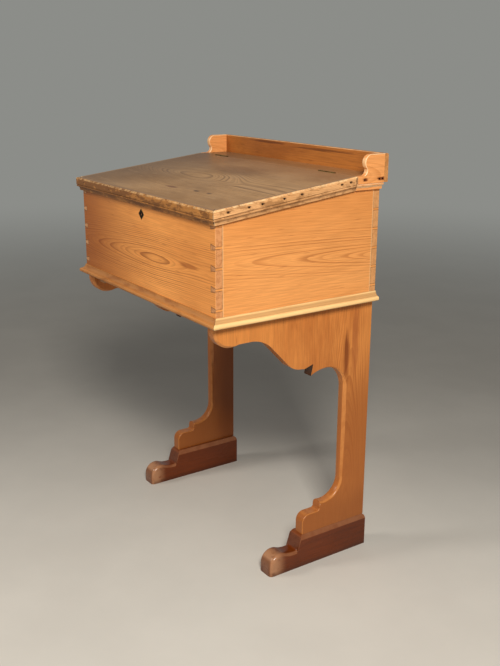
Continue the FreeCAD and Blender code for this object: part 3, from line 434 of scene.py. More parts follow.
def pine(name, axes, face, plan, pale, late, deep, contrast=0.8, clouds=0.35, end=None,
         spots=(), calm=(), arris=None, rub_and_sheen="EBC08A", wear=0.6, gloss=0.42, coat=0.12,
         lean=0.0, paired=False, shine=0.30, extra=None):
    """A pine finish. `face` is where the show face lies along the third axis.

    `pale`, `late` and `deep` colour the spring wood, the summer lines and the clouds, and
    `end` the end grain. `spots` are stains: (place, half sizes, colour, strength). `calm`
    lists where the lines grow faint: (axis, from, to, share left). `arris` names the axis
    whose faces have pale edges, in the colour given after it: rubbed wear, and on the
    standards and the gallery brackets partly a painted highlight. `gloss` is the roughness,
    `coat` the wax and `shine` the strength of reflections. `lean` is the slope of the face
    across the board. A `paired` finish serves a left and a right piece.
    """
    wood = Paint(name)
    place = dict(zip("XYZ", wood.split(wood.object)))
    facing = dict(zip("XYZ", wood.split(wood.normal)))
    along, across, third = (place[letter] for letter in axes)
    third = wood.sum("MULTIPLY_ADD", across, -lean, third)
    if paired:
        third = wood.size(third)
    into = wood.size(wood.minus(third, abs(face) if paired else face))

    line = ring_lines(wood, along, across, into, plan)
    stretched = wood.vector(wood.times(along, cloud_stretch), across, third)
    line = wood.times(line, wood.patches(stretched, 5.0, 1.0, 0.36, 0.60, 0.45, 1.0))
    for letter, low, high, least in calm:
        line = wood.times(line, wood.fade(place[letter], low, high, 1.0, least))
    colour = wood.mix(wood.times(line, contrast), srgb(pale), srgb(late))

    cloud = wood.patches(stretched, 7.0, 5.0, 0.40, 0.66, rough=0.62)
    colour = wood.stain(colour, wood.times(cloud, clouds), deep)

    fine = wood.vector(wood.times(along, fibre_stretch), across, third)
    streak = wood.noise(fine, 420.0, 2.0)[0]
    tint = wood.new("HueSaturation")
    wood.put(tint, "Color", colour)
    wood.put(tint, "Value", wood.fade(streak, 0.3, 0.7, 0.89, 1.08))
    colour = tint.outputs["Color"]

    cells = wood.new("TexVoronoi")
    wood.put(cells, "Vector", wood.vector(wood.times(along, fleck_stretch), across, third))
    wood.put(cells, "Scale", 110.0)
    fleck = wood.fade(cells.outputs["Distance"], 0.17, 0.05, 0.0, 0.32)
    colour = wood.mix(fleck, colour, srgb(late), "MULTIPLY")

    for where, size, ink, amount in spots:
        gap = [wood.sum("DIVIDE", wood.minus(place[letter], where[i]), size[i])
               for i, letter in enumerate("XYZ")]
        ragged = wood.sum("MULTIPLY_ADD", wood.minus(streak, 0.5), 1.2, wood.distance(*gap))
        colour = wood.stain(colour, wood.fade(ragged, 1.1, 0.4, 0.0, amount), ink)

    if extra:
        colour = extra(wood, *place.values(), facing, colour)
    if arris:
        # Pale arrises: rubbed wear, and on the standards and the gallery brackets partly a painted
        # highlight.
        band = wood.between(wood.size(facing[arris]), 0.10, 0.40, 0.86, 0.985)
        rubbed = wood.patches(wood.object, 45.0, 2.0, 0.32, 0.62, 0.55, 1.0)
        colour = wood.stain(colour, wood.times(band, rubbed, wear), rub_and_sheen)
    if end:
        on_end = wood.fade(wood.size(facing[axes[0]]), 0.72, 0.92, 0.0, end_share)
        pores = wood.patches(wood.object, 700.0, 2.0, 0.35, 0.65, 0.0, 0.30)
        soaked = wood.patches(wood.object, 85.0, 4.0, 0.45, 0.58, 0.0, 0.34, rough=0.65)
        sawn = wood.stain(wood.stain(srgb(end), pores, deep), soaked, late)
        colour = wood.mix(on_end, colour, sawn)

    wood.shade("Base Color", colour)
    smear = wood.noise(stretched, 16.0, 3.0)[0]
    wood.shade("Roughness", wood.sum("MULTIPLY_ADD", smear, 0.24, gloss - 0.12))
    wood.shade("Coat Weight", coat)
    wood.shade("Coat Roughness", gloss * 0.6)
    wood.shade("Specular IOR Level", shine)
    relief = wood.new("Bump")
    wood.put(relief, "Strength", 0.35)
    wood.put(relief, "Distance", 0.0006)
    wood.put(relief, "Height", wood.sum("ADD", wood.times(line, -0.5), wood.times(streak, 0.6)))
    wood.shade("Normal", relief.outputs["Normal"])
    return wood.material


print("pine recipe ready")

# %% [markdown]
# ## What hands and dust do to a box, and where shade is painted
# A wear recipe knows a point's place in metres and which way its face looks, and stains the
# colour so far. Some recipes also paint light and shade into it; each one says where. Dirt
# settles where two pieces meet. Round each dovetail it has drawn a thin dark outline, and the
# pins' end grain has drunk more of it than the boards have. The pins stand at an even pitch,
# so their outline is a short sum: a height that repeats, and a width that grows with the
# depth into the corner.
#
# The lid's edge strips carry most of the wear. Their faces are blotched dark brown, while
# the upper arris is rubbed pale, and their cove carries a painted shade. On top they are as
# faded as the lid.

# %% Wear recipes, with painted light and shade
box_front = -0.2325
box_rear = 0.2365
half_box = 0.340
board_t = 0.018
shelf_top = 0.997
lid_slope = math.tan(math.radians(6.8))
lid_front = -0.246
lid_rear = 0.1525
lid_half = 0.3535
box_low = 0.688
nail_drop = 0.0095
base_half = 0.356
base_front = -0.2485
standard_outer = 0.3325
standard_inner = 0.3025
foot_outer = 0.3388
foot_inner = 0.2888

pin_low_z = 0.7255
pin_pitch = 0.047
pin_half_narrow = 0.003
pin_growth = 1 / 6


def joint_dirt(wood, x, y, z, facing, colour):
    """Dark outlines round the dovetails, on the front, the back and the sides."""
    dx = wood.minus(half_box, wood.size(x))
    dy = wood.sum("MINIMUM", wood.minus(y, box_front), wood.minus(box_rear, y))
    turns = wood.sum("DIVIDE", wood.minus(z, pin_low_z - pin_pitch / 2), pin_pitch)
    dz = wood.times(wood.size(wood.minus(wood.sum("FRACT", turns), 0.5)), pin_pitch)
    on_side = wood.fade(wood.size(facing["X"]), 0.5, 0.8)
    on_front = wood.fade(wood.size(facing["Y"]), 0.5, 0.8)
    flank = wood.minus(dz, wood.sum("MULTIPLY_ADD", dx, pin_growth, pin_half_narrow))
    pin = wood.sum("MAXIMUM", flank, wood.minus(dx, board_t))
    outline = wood.fade(wood.size(pin), 0.0019, 0.0005)
    smudge = wood.times(wood.fade(pin, 0.0030, -0.0015), on_front,
                        wood.patches(wood.object, 130.0, 3.0, 0.36, 0.54, 0.25, 1.0))
    across_end = wood.times(wood.near(dz, pin_half_narrow, 0.0011, 0.0003),
                            wood.fade(dy, board_t + 0.0005, board_t - 0.0005))
    shoulder = wood.times(wood.near(dy, board_t - 0.0004, 0.0012, 0.0004),
                          wood.fade(dz, pin_half_narrow - 0.0004, pin_half_narrow + 0.0004))
    lines = wood.sum("ADD", wood.times(outline, on_front),
                     wood.times(wood.sum("MAXIMUM", across_end, shoulder), on_side))
    filled = wood.patches(wood.object, 90.0, 2.0, 0.30, 0.60, 0.45, 1.0)
    rubbed = wood.times(wood.near(dy, board_t + 0.0016, 0.0014, 0.0006), on_side, 0.40)
    colour = wood.stain(colour, smudge, "7C573A")
    colour = wood.stain(colour, rubbed, "F7D9A6")
    return wood.stain(colour, wood.times(lines, filled), "4E3019")


def strip_wear_and_shade(letter, dark, rim, amount, darker_end=0.0):
    """Blotches, a painted shade in the moulding's cove and a pale upper arris for a lid strip facing
    `letter`.
    """
    def paint(wood, x, y, z, facing, colour):
        plane = wood.sum("MULTIPLY_ADD", y, lid_slope, shelf_top - lid_rear * lid_slope)
        below = wood.minus(plane, z)
        drawn_out = wood.vector(wood.times(x, 0.5), wood.times(y, 0.5), z)
        spread = wood.noise(drawn_out, 72.0, 5.0, 0.68)[0]
        spread = wood.sum("ADD", spread, wood.fade(x, 0.15, -0.34, 0.0, darker_end))
        colour = wood.stain(colour, wood.fade(spread, 0.46, 0.60, 0.0, amount), dark)
        # Painted shade in the cove below the strip's face, kept off the bead.
        hollow = wood.fade(below, 0.0172, 0.0184, 0.0, 0.22)
        bead = wood.times(wood.between(below, 0.0190, 0.0206, 0.0232, 0.0246), 0.55)
        colour = wood.stain(colour, wood.times(hollow, wood.minus(1.0, bead)), "5E3818")
        side_on = wood.fade(wood.size(facing[letter]), 0.10, 0.35)
        chips = wood.patches(wood.object, 120.0, 4.0, 0.40, 0.56, rough=0.65)
        arris = wood.times(wood.fade(below, 0.0048, 0.0026), side_on, chips, 0.60)
        colour = wood.stain(colour, arris, rim)
        colour = wood.stain(colour, wood.fade(facing["Z"], 0.90, 0.97, 0.0, 0.85), "94704E")
        gap = wood.minus(wood.minus(lid_half, wood.size(x)), wood.minus(y, lid_front))
        mitre = wood.times(wood.fade(wood.size(gap), 0.0034, 0.0014), chips, 0.7)
        return wood.stain(colour, mitre, rim)
    return paint


def lid_wear(wood, x, y, z, facing, colour):
    """The lid's top is greyer at its left, browner near the gallery, and scuffed all over."""
    warm = wood.fade(y, -0.02, 0.16, 0.0, 0.55)
    colour = wood.stain(colour, warm, "945C30")
    grey = wood.fade(x, 0.0, -0.34, 0.0, 0.72)
    colour = wood.stain(colour, grey, "6E5036")
    drawn_out = wood.vector(wood.times(x, 0.3), y, 0.0)
    scuffs = wood.patches(drawn_out, 60.0, 4.0, 0.56, 0.72, 0.0, 0.30)
    return wood.stain(colour, scuffs, "B8926A")


def front_shade_and_dirt(wood, x, y, z, facing, colour):
    """The front is browner near its right end and has a painted shade over its left half; its dovetails
    get their dirt.
    """
    right = wood.fade(x, 0.10, 0.26, 0.0, 0.28)
    colour = wood.stain(colour, right, "B0601E")
    # Painted shade: the front's colour darkens towards its left end, away from the right lamp.
    left = wood.fade(x, 0.10, -0.36, 0.0, 0.855)
    colour = wood.stain(colour, left, "8C440A")
    return joint_dirt(wood, x, y, z, facing, colour)


def side_shade_and_dirt(wood, x, y, z, facing, colour):
    """A side is browner under the lid, a painted shadow of the lid's overhang; its dovetails get their
    dirt.
    """
    # Painted shadow: the side's colour darkens under the lid's overhang.
    high = wood.fade(z, 0.845, 0.935, 0.0, 0.34)
    return joint_dirt(wood, x, y, z, facing, wood.stain(colour, high, "C2702C"))


def standard_shade_and_stain(wood, x, y, z, facing, colour):
    """Standards are darker down the leg and at the toe, with painted shade on their inner faces and on
    the faces that look down, and a near-black painted shadow in their notch.
    """
    low = wood.fade(z, 0.60, 0.38, 0.0, 0.75)
    colour = wood.stain(colour, low, "9C5622")
    # Painted shade on the inner faces, deepest towards the back.
    outward = wood.times(wood.sum("SIGN", x), facing["X"])
    inner_shade = wood.times(wood.fade(outward, -0.3, -0.7, 0.0, 0.72),
                        wood.fade(y, 0.145, 0.215, 0.30, 1.0))
    colour = wood.stain(colour, inner_shade, "642A02")
    toe = wood.fade(z, 0.20, 0.12, 0.0, 0.35)
    colour = wood.stain(colour, toe, "80441A")
    # Painted shadow: the notch's forward face is nearly black.
    forward = wood.fade(facing["Y"], -0.35, -0.75)
    notch_shade = wood.times(wood.between(y, 0.024, 0.030, 0.060, 0.066), forward,
                       wood.fade(z, 0.50, 0.505), 0.92)
    colour = wood.stain(colour, notch_shade, "200E06")
    # Painted shade on the faces that look down.
    underside_shade = wood.times(wood.fade(facing["Z"], -0.25, -0.7), wood.fade(z, 0.50, 0.52), 0.45)
    return wood.stain(colour, underside_shade, "7A4522")


def foot_highlight_and_wear(wood, x, y, z, facing, colour):
    """A foot's bevel is paler, a painted highlight where it faces up; its nose is kicked paler and its
    lower edge is darker.
    """
    # Painted highlight on the bevel that faces up.
    bevel = wood.times(wood.fade(z, 0.0745, 0.0775), 0.40)
    colour = wood.stain(colour, bevel, "8E5230")
    nose = wood.times(wood.fade(y, -0.020, -0.060),
                      wood.patches(wood.object, 40.0, 4.0, 0.30, 0.54), 0.72)
    colour = wood.stain(colour, nose, "BC8A64")
    low = wood.fade(z, 0.016, 0.002, 0.0, 0.5)
    return wood.stain(colour, low, "3A1E12")


def moulding_shade_and_stains(wood, x, y, z, facing, colour):
    """The bottom moulding is darker in its hollow and along its top, stained on its front, and has a
    painted shadow under its lip.
    """
    hollow = wood.times(wood.between(z, 0.6970, 0.6985, 0.7040, 0.7085), 0.62)
    colour = wood.stain(colour, hollow, "A8703C")
    on_front = wood.fade(facing["Y"], -0.2, -0.6)
    drawn_out = wood.vector(wood.times(x, 0.3), y, z)
    stains = wood.patches(drawn_out, 46.0, 4.0, 0.48, 0.62, 0.0, 0.55)
    colour = wood.stain(colour, wood.times(stains, on_front), "8A4E1E")
    top_line = wood.fade(z, 0.7088, 0.7094, 0.0, 0.35)
    colour = wood.stain(colour, top_line, "6E4526")
    # Painted shadow under the moulding's lip.
    lip_shadow = wood.fade(z, 0.6885, 0.6865, 0.0, 0.60)
    return wood.stain(colour, lip_shadow, "5A3418")


print("wear recipes ready")

# %% [markdown]
# ## A finish for each board
# The front was cut close to the heart of a trunk that bends a little, which gives it long
# flat ellipses just below its middle. The right side has nested arches that open towards
# the back. The standards are straight-grained, top to bottom. Only the feet were stained
# dark.
#
# The lid has lost its orange: light, ink and sleeves have faded it to a greyish brown.

# %% Box finishes
front_pine = pine("front_pine", "XZY", box_front,
                  rings(0.055, 0.797, 0.022, 0.0040, bow=0.062, turn=1.3, rise=0.0062,
                        skew=-0.03, wander=0.0030, lumps=15.0, thin=0.55),
                  "FAA857", "6E2C00", "CE7C34", contrast=1.0, end="CE9468",
                  calm=[("Z", 0.852, 0.880, 0.22), ("Z", 0.745, 0.725, 0.45)], arris="X",
                  rub_and_sheen="E8B27A", wear=0.45,
                  spots=[((0.225, box_front, 0.806), (0.045, 0.02, 0.008), "9A5420", 0.70),
                         ((-0.02, box_front, 0.797), (0.06, 0.02, 0.004), "B06A30", 0.35)],
                  gloss=0.40, coat=0.16, extra=front_shade_and_dirt)
side_pine_right = pine("side_pine_right", "YZX", half_box,
                       rings(-0.063, 0.820, 0.028, 0.0055, tilt=-0.042, skew=0.06, power=0.93,
                             wander=0.0013, thin=0.66),
                       "EA9F59", "8E3E08", "D3853F", contrast=0.88, clouds=0.24, end="DDA06C",
                       calm=[("Z", 0.855, 0.895, 0.30), ("Z", 0.785, 0.755, 0.32)], extra=side_shade_and_dirt)
side_pine_left = pine("side_pine_left", "YZX", -half_box,
                      rings(0.05, 0.790, 0.060, 0.0048, tilt=0.05, wander=0.006),
                      "E8A05A", "AE6A30", "CC8644", contrast=0.65, end="DDA06C", extra=joint_dirt)
back_pine = pine("back_pine", "XZY", box_rear,
                 rings(-0.12, 0.840, 0.12, 0.0026, bow=0.30, rise=0.006, wander=0.006),
                 "D4975C", "94602F", "B0763F", contrast=0.65, end="E0A066", extra=joint_dirt)
bottom_pine = pine("bottom_pine", "XYZ", box_low, rings(0.1, 0.0, 0.12, 0.0035, bow=0.2),
                   "C99A66", "96693E", "A67B50", contrast=0.6, end="A9805C", gloss=0.6, coat=0.0)
print("box finishes made")

# %% Lid, gallery and moulding finishes
nail_marks = []
for share in (0.095, 0.231, 0.321, 0.469, 0.592, 0.883, 0.951):
    y = lid_front + share * (lid_rear - lid_front)
    z = shelf_top - (lid_rear - y) * lid_slope - nail_drop
    nail_marks.append(((lid_half, y + 0.001, z), (0.01, 0.0062, 0.0034), "4A2C1A", 0.85))

bracket_marks = [((lid_half, y + 0.002, 0.988), (0.01, 0.0100, 0.0050), "7A3E18", 1.0)
                 for y in (0.1755, 0.2215, 0.2315)]
top_faded = pine("top_faded", "XYZ", shelf_top - lid_rear * lid_slope,
                 rings(-0.02, -0.04, 0.16, 0.0021, bow=0.16, rise=0.012, skew=0.02, wander=0.006),
                 "BC9060", "5C3814", "845C30", contrast=0.80, clouds=0.62, gloss=0.44, coat=0.18,
                 end="8A6848", lean=lid_slope, extra=lid_wear,
                 spots=[((0.131, -0.153, 0.960), (0.015, 0.0065, 0.05), "3E2414", 0.90),
                        ((0.185, -0.151, 0.960), (0.012, 0.0055, 0.05), "4A2C18", 0.85),
                        ((0.025, -0.160, 0.960), (0.034, 0.0070, 0.05), "6A3A1E", 0.75),
                        ((0.000, 0.050, 0.985), (0.15, 0.05, 0.06), "6E4A2A", 0.52)])
edge_front_wood = pine("edge_front_wood", "XZY", lid_front, rings(0.0, 0.90, 0.05, 0.0022),
                       "C0813E", "683614", "86501C", contrast=0.6, clouds=0.5, coat=0.2,
                       end="70503A", extra=strip_wear_and_shade("Y", "5A300E", "DCB078", 0.68, 0.17))
edge_side_wood = pine("edge_side_wood", "YZX", lid_half,
                      rings(0.0, 0.93, 0.05, 0.0024, skew=-lid_slope),
                      "EAB076", "96602E", "BC8248", contrast=0.6, clouds=0.45, coat=0.2,
                      end="8A6A50", paired=True, spots=nail_marks,
                      extra=strip_wear_and_shade("X", "7A4A20", "F4CE98", 0.50))
gallery_back_wood = pine("gallery_back_wood", "XZY", box_rear,
                         rings(0.1, 1.09, 0.06, 0.0022, bow=0.08, wander=0.004),
                         "B8702E", "6A3210", "864616", contrast=0.85, clouds=0.6, end="E0A060",
                         spots=[((-0.12, box_rear, 1.040), (0.10, 0.03, 0.0035), "5A2A0C", 0.75),
                                ((0.11, box_rear, 1.036), (0.13, 0.03, 0.0040), "5A2A0C", 0.70)],
                         arris="Z", rub_and_sheen="E2B07C", wear=0.95)
# The brackets' pale arrises and cream end grain are partly a painted highlight where the rim faces the
# lamps, and partly wear.
gallery_end_wood = pine("gallery_end_wood", "YZX", lid_half,
                        rings(0.12, 1.00, 0.05, 0.0042, tilt=0.1),
                        "EC9F5C", "C27634", "DA8C48", contrast=0.50, end="F2CB98", paired=True,
                        spots=bracket_marks, arris="X", rub_and_sheen="F6D6A8", wear=0.85)
moulding_front_wood = pine("moulding_front_wood", "XZY", base_front,
                           rings(0.0, 0.72, 0.05, 0.0030),
                           "C28142", "7C461A", "965A24", contrast=0.6, clouds=0.7, extra=moulding_shade_and_stains)
moulding_side_wood = pine("moulding_side_wood", "YZX", base_half, rings(0.0, 0.72, 0.05, 0.0036),
                          "FFD492", "DA9C56", "F0B670", contrast=0.45, clouds=0.45, end="B98460",
                          paired=True, extra=moulding_shade_and_stains)
plain_pine = pine("plain_pine", "YZX", 0.3, rings(0.0, 0.67, 0.05, 0.0036),
                  "C8986A", "9C7044", "AA7E54", contrast=0.6, gloss=0.6, coat=0.0, end="A9805C",
                  paired=True)
print("lid and gallery finishes made")

# %% Standards and feet
stain_marks = []
for side in (-1, 1):
    x = side * standard_outer
    stain_marks += [((x, 0.1575, 0.552), (0.02, 0.012, 0.08), "7A3A12", 0.90),
                    ((x, 0.185, 0.585), (0.02, 0.014, 0.11), "A05628", 0.60)]
# The standards' pale arrises and chamfers are partly a painted highlight of the bright chamfer band,
# and partly wear.
standard_pine = pine("standard_pine", "ZYX", standard_outer,
                     rings(0.35, 0.17, 0.05, 0.0034, tilt=0.05, wander=0.007),
                     "D68842", "8E4618", "AC5E26", contrast=0.66, clouds=0.60, gloss=0.34, coat=0.16,
                     shine=0.22, end="BE7A44", paired=True, arris="X", rub_and_sheen="DC9450", wear=0.42,
                     spots=stain_marks, extra=standard_shade_and_stain)
foot_stain = pine("foot_stain", "YZX", foot_outer, rings(0.1, 0.05, 0.05, 0.0034, wander=0.008),
                  "6A2C06", "381402", "4C1E04", contrast=0.62, clouds=0.6, gloss=0.27, coat=0.42,
                  shine=0.14, end="6A3A22", paired=True, arris="X", rub_and_sheen="A87450", wear=0.5,
                  extra=foot_highlight_and_wear)
print("standard and foot finishes made")

# %% [markdown]
# ## Metal and grime
# The hinges and the lock's plates are old brass, dull brown except where hands rub them.
# The nails are iron gone nearly black, the screws and the bolt dull steel. Metal needs
# little besides an uneven roughness and a patchy tarnish. The hair-thin gaps of the mitres
# get a finish of their own, matt and dark, because dirt has filled them.

# %% Metal and grime


def patchy(name, first, second, rough, uneven=0.25, metallic=1.0, scale=180.0, detail=4.0):
    """Patches of two colours with an uneven shine; metal by default."""
    made = Paint(name)
    patch = made.patches(made.object, scale, detail, 0.35, 0.65)
    made.shade("Base Color", made.mix(patch, srgb(first), srgb(second)))
    made.shade("Roughness", made.sum("MULTIPLY_ADD", patch, uneven, rough))
    made.shade("Metallic", metallic)
    return made.material


aged_brass = patchy("aged_brass", "9A7C44", "5C4526", 0.32)
rubbed_brass = patchy("rubbed_brass", "B9A06A", "7A6238", 0.30)
dark_brass = patchy("dark_brass", "4E3A24", "241A12", 0.38)
dull_steel = patchy("dull_steel", "7C7872", "4E4A46", 0.35)
dark_iron = patchy("dark_iron", "4A362A", "241A14", 0.55)
grime = patchy("grime", "2E1C12", "6A4A30", 0.75, uneven=0.15, metallic=0.0, scale=150.0,
               detail=3.0)
print("metals and grime made")

# %% [markdown]
# ## Eased arrises
# No joiner leaves a sharp arris: a pass of the plane or a rub of sandpaper takes it off,
# and years of sleeves and knees round it further. Those thin rounded edges catch the
# light and are most of what tells wood from a diagram.
#
# The CAD boards have the right outlines, so each show board is a merged copy of its node.
# Its flat faces are made whole again, the edges to be eased are picked by their place,
# and the bevel tool rounds them. Where a joint has filled with dirt, the bevel's own faces
# take the grime. Points that a bevel left on top of each other are merged at the end.

# %% Helpers that shape a board


def body_of(node):
    """The body that a CAD node belongs to."""
    return nodes[node]["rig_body"]


def at(value, *places):
    """Whether a length is within a tenth of a millimetre of another."""
    return any(abs(value - place) < 1e-4 for place in places)


def board_from(node, name, finish):
    """A merged copy of a CAD node in edit mode, with its flat faces whole."""
    board = bpy.data.objects.new(name, nodes[node].data.copy())
    bpy.context.scene.collection.objects.link(board)
    board.data.materials.clear()
    board.data.materials.append(finish)
    board.data.materials.append(grime)
    clear_selection()
    board.select_set(True)
    bpy.context.view_layer.objects.active = board
    bpy.ops.object.mode_set(mode="EDIT")
    bpy.ops.mesh.select_all(action="SELECT")
    bpy.ops.mesh.remove_doubles(threshold=1e-5)
    bpy.ops.mesh.dissolve_limited(angle_limit=math.radians(0.5))
    bpy.ops.mesh.select_all(action="DESELECT")
    return board


def round_edges(board, wanted, width, steps=3, least=60.0, filled=False):
    """Bevels the sharp edges that `wanted(middle, direction, length)` accepts."""
    bpy.ops.mesh.select_all(action="DESELECT")
    bm = bmesh.from_edit_mesh(board.data)
    bm.normal_update()
    count = 0
    for edge in bm.edges:
        if len(edge.link_faces) != 2 or edge.calc_face_angle_signed(0.0) < math.radians(least):
            continue
        run = edge.verts[1].co - edge.verts[0].co
        if wanted((edge.verts[0].co + edge.verts[1].co) / 2, run.normalized(), run.length):
            edge.select_set(True)
            count += 1
    bmesh.update_edit_mesh(board.data)
    if count:
        bpy.ops.mesh.bevel(offset=width, offset_type="OFFSET", segments=steps, affect="EDGES",
                           clamp_overlap=False, material=1 if filled else -1)
    return count


def place_board(board, node, smooth=32.0):
    """Merges doubled points, shades the board smooth and gives it its place in the desk."""
    bpy.ops.object.mode_set(mode="EDIT")
    bpy.ops.mesh.select_all(action="SELECT")
    bpy.ops.mesh.remove_doubles(threshold=1e-6)
    bpy.ops.object.mode_set(mode="OBJECT")
    bpy.ops.object.shade_smooth_by_angle(angle=math.radians(smooth))
    even = board.modifiers.new("flat_faces", "WEIGHTED_NORMAL")
    even.keep_sharp = True
    even.weight = 90
    bpy.ops.object.modifier_apply(modifier=even.name)
    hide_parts(node)
    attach(board, body_of(node))


def eased(node, slot, finish, *rubs):
    """A board with rounded arrises; each rub is (wanted, width, steps, least angle)."""
    board = board_from(node, "worn_" + node, finish)
    counts = [round_edges(board, *rub) for rub in rubs]
    place_board(board, node)
    print(f"{node}: {counts} edges eased, {len(board.data.polygons)} faces")


# %% [markdown]
# ## The box
# Only the four upright corners of the box are open to knocks. The joints themselves were
# planed flush, so the dovetails keep their crisp lines.

# %% Box boards


def upright_corner(middle, direction, length):
    """An upright edge at an outer corner of the box."""
    at_corner = at(abs(middle.x), half_box) and at(middle.y, box_front, box_rear)
    return at_corner and abs(direction.z) > 0.99


for node, finish in (("front_board", front_pine), ("back_board", back_pine),
                     ("side_board_right", side_pine_right), ("side_board_left", side_pine_left)):
    eased(node, "box_pine", finish, (upright_corner, 0.0012))

# %% [markdown]
# ## The bottom moulding
# Its arrises were only broken with sandpaper. At the front corners the mitres have opened
# a hair and filled with dirt.

# %% Bottom moulding


def long_arris(middle, direction, length):
    """An arris that runs the length of a moulding, away from the box's faces."""
    outside = abs(middle.x) > half_box + 1e-3 or middle.y < box_front - 1e-3
    return length > 0.3 and outside


def base_mitre(middle, direction, length):
    """An edge on the mitre at a front corner of the bottom moulding."""
    return at(base_half - abs(middle.x), middle.y - base_front)


for node, finish in (("base_moulding_front", moulding_front_wood),
                     ("base_moulding_right", moulding_side_wood),
                     ("base_moulding_left", moulding_side_wood)):
    board = board_from(node, "worn_" + node, finish)
    lines = round_edges(board, long_arris, 0.0006, 2, 30.0)
    joints = round_edges(board, base_mitre, 0.0004, 1, filled=True)
    place_board(board, node)
    print(f"{node}: {lines} arrises and {joints} mitre edges broken")

# %% [markdown]
# ## The lid's edge strips
# The strips are planted round the lid to hide its end grain, and they are what every hand,
# sleeve and book has hit. Their upper arris isn't a line any more but a string of small
# dents and missing chips.
#
# Each strip is cut across every few millimetres, so that there is something to push. The
# arris goes in a vertex group, strongest at its middle, and a cloud texture pushes it
# inwards by up to a millimetre and a half. A second push at chosen places makes the chips.

# %% Worn edge strips
wear_clouds = bpy.data.textures.new("wear_clouds", "CLOUDS")
wear_clouds.noise_scale = 0.011
wear_clouds.noise_depth = 2
arris_r = 0.0035
cut_pitch = 0.005
plain_ends = 0.002
cloud_depth = 0.0014
chip_depth = 0.0012
chip_sizes = (0.003, 0.009)
chip_margin = 0.02


def arris_weight(out, below):
    """How far a point is inside the rounded upper arris, from 0 to 1."""
    u = (out + arris_r) / arris_r
    v = (arris_r - below) / arris_r
    return max(0.0, min(1.0, 1.45 * min(u, v)))


def push_in(board, group, amount, texture):
    """A Displace modifier on a vertex group, inwards only, applied."""
    push = board.modifiers.new("wear", "DISPLACE")
    push.vertex_group = group
    push.strength = amount if texture else -amount
    push.mid_level = 1.0 if texture else 0.0
    push.texture = texture
    push.texture_coords = "LOCAL"
    bpy.ops.object.modifier_apply(modifier=push.name)


def strip_mitre(middle, direction, length):
    """An edge on the mitre between a side strip and the front strip."""
    return at(lid_half - abs(middle.x), middle.y - lid_front)


def worn_strip(node, finish, run, start, length, outwards, chips, seed):
    """A lid strip with a battered upper arris."""
    board = board_from(node, "worn_" + node, finish)
    joints = round_edges(board, strip_mitre, 0.0009, 1, 40.0, filled=True)
    cuts = int(length / cut_pitch)
    for i in range(1, cuts):
        bpy.ops.mesh.select_all(action="SELECT")
        bpy.ops.mesh.bisect(plane_co=start + run * (length * i / cuts), plane_no=run)
    bpy.ops.object.mode_set(mode="OBJECT")

    draw = random.Random(seed)
    marks = [(draw.uniform(chip_margin, length - chip_margin), draw.uniform(*chip_sizes))
             for _ in range(chips)]
    worn_group = board.vertex_groups.new(name="arris")
    chip_group = board.vertex_groups.new(name="chips")
    for vertex in board.data.vertices:
        point = vertex.co
        below = shelf_top - (lid_rear - point.y) * lid_slope - point.z
        weight = arris_weight(outwards(point), below)
        along = (point - start).dot(run)
        if weight <= 0.0 or not plain_ends < along < length - plain_ends:
            continue
        worn_group.add([vertex.index], weight, "REPLACE")
        chip = max(1.0 - abs(along - where) / size for where, size in marks)
        if chip > 0.0:
            chip_group.add([vertex.index], chip * weight, "REPLACE")
    push_in(board, "arris", cloud_depth, wear_clouds)
    push_in(board, "chips", chip_depth, None)
    board.vertex_groups.clear()
    place_board(board, node, 40.0)
    print(f"{node}: {joints} mitre edges, {cuts} cuts, {chips} chips, {len(board.data.polygons)} faces")


down_slope = Vector((0.0, 1.0, lid_slope)).normalized()
side_length = (lid_rear - lid_front) / down_slope.y
front_top = shelf_top - (lid_rear - lid_front) * lid_slope
worn_strip("lid_edge_front", edge_front_wood, Vector((1.0, 0.0, 0.0)),
           Vector((-lid_half, lid_front, front_top)), 2 * lid_half,
           lambda point: lid_front - point.y, chips=22, seed=5)
for hand, side in (("right", 1), ("left", -1)):
    worn_strip(f"lid_edge_{hand}", edge_side_wood, down_slope,
               Vector((side * lid_half, lid_front, front_top)), side_length,
               lambda point: abs(point.x) - lid_half, chips=12, seed=8 + side)

# %% [markdown]
# ## The lid boards and the shelf
# The lid's rear edge and the shelf's front edge meet over the hinges. Both are softened, so
# a thin shadow runs between them. The joints of the lid boards are nearly closed.

# %% Lid boards and shelf


def top_long_edge(middle, direction, length):
    """An upper edge that runs from left to right."""
    plane = shelf_top - max(0.0, lid_rear - middle.y) * lid_slope
    return abs(direction.x) > 0.99 and abs(middle.z - plane) < 2e-4


for name in ("front", "middle", "rear"):
    eased(f"lid_board_{name}", "faded_top", top_faded, (top_long_edge, 0.0004, 2))
eased("rear_shelf", "faded_top", top_faded, (top_long_edge, 0.0010))

# %% [markdown]
# ## The gallery
# The brackets were sawn to shape and then rounded over with a file, all along the edge
# that shows. The backboard's top is eased too.

# %% Gallery pieces


def gallery_arris(middle, direction, length):
    """Any arris above the shelf, except those against the backboard."""
    return middle.z > 0.9975 and not at(middle.y, box_rear)


def backboard_top(middle, direction, length):
    """The backboard's long upper arrises and its rounded corners."""
    return middle.z > 1.03 and abs(direction.y) < 0.1


for hand in ("left", "right"):
    eased(f"gallery_bracket_{hand}", "gallery_pine", gallery_end_wood, (gallery_arris, 0.0022, 4, 50.0))
eased("gallery_backboard", "gallery_pine", gallery_back_wood, (backboard_top, 0.0022, 3, 50.0))

# %% [markdown]
# ## Standards and feet
# The long curves of the standards keep their chamfers. Their square arrises are softened by
# a light rub and the toe, within reach of boots, by a good deal more. The feet were made
# to be kicked: the domed nose, the instep and the riser all have fat, shiny arrises.

# %% Standards and feet
toe_top = 0.150
glue_line = 0.029


def on_standard_face(middle):
    """Whether a point lies on the inner or the outer face of a standard."""
    return at(abs(middle.x), standard_outer, standard_inner)


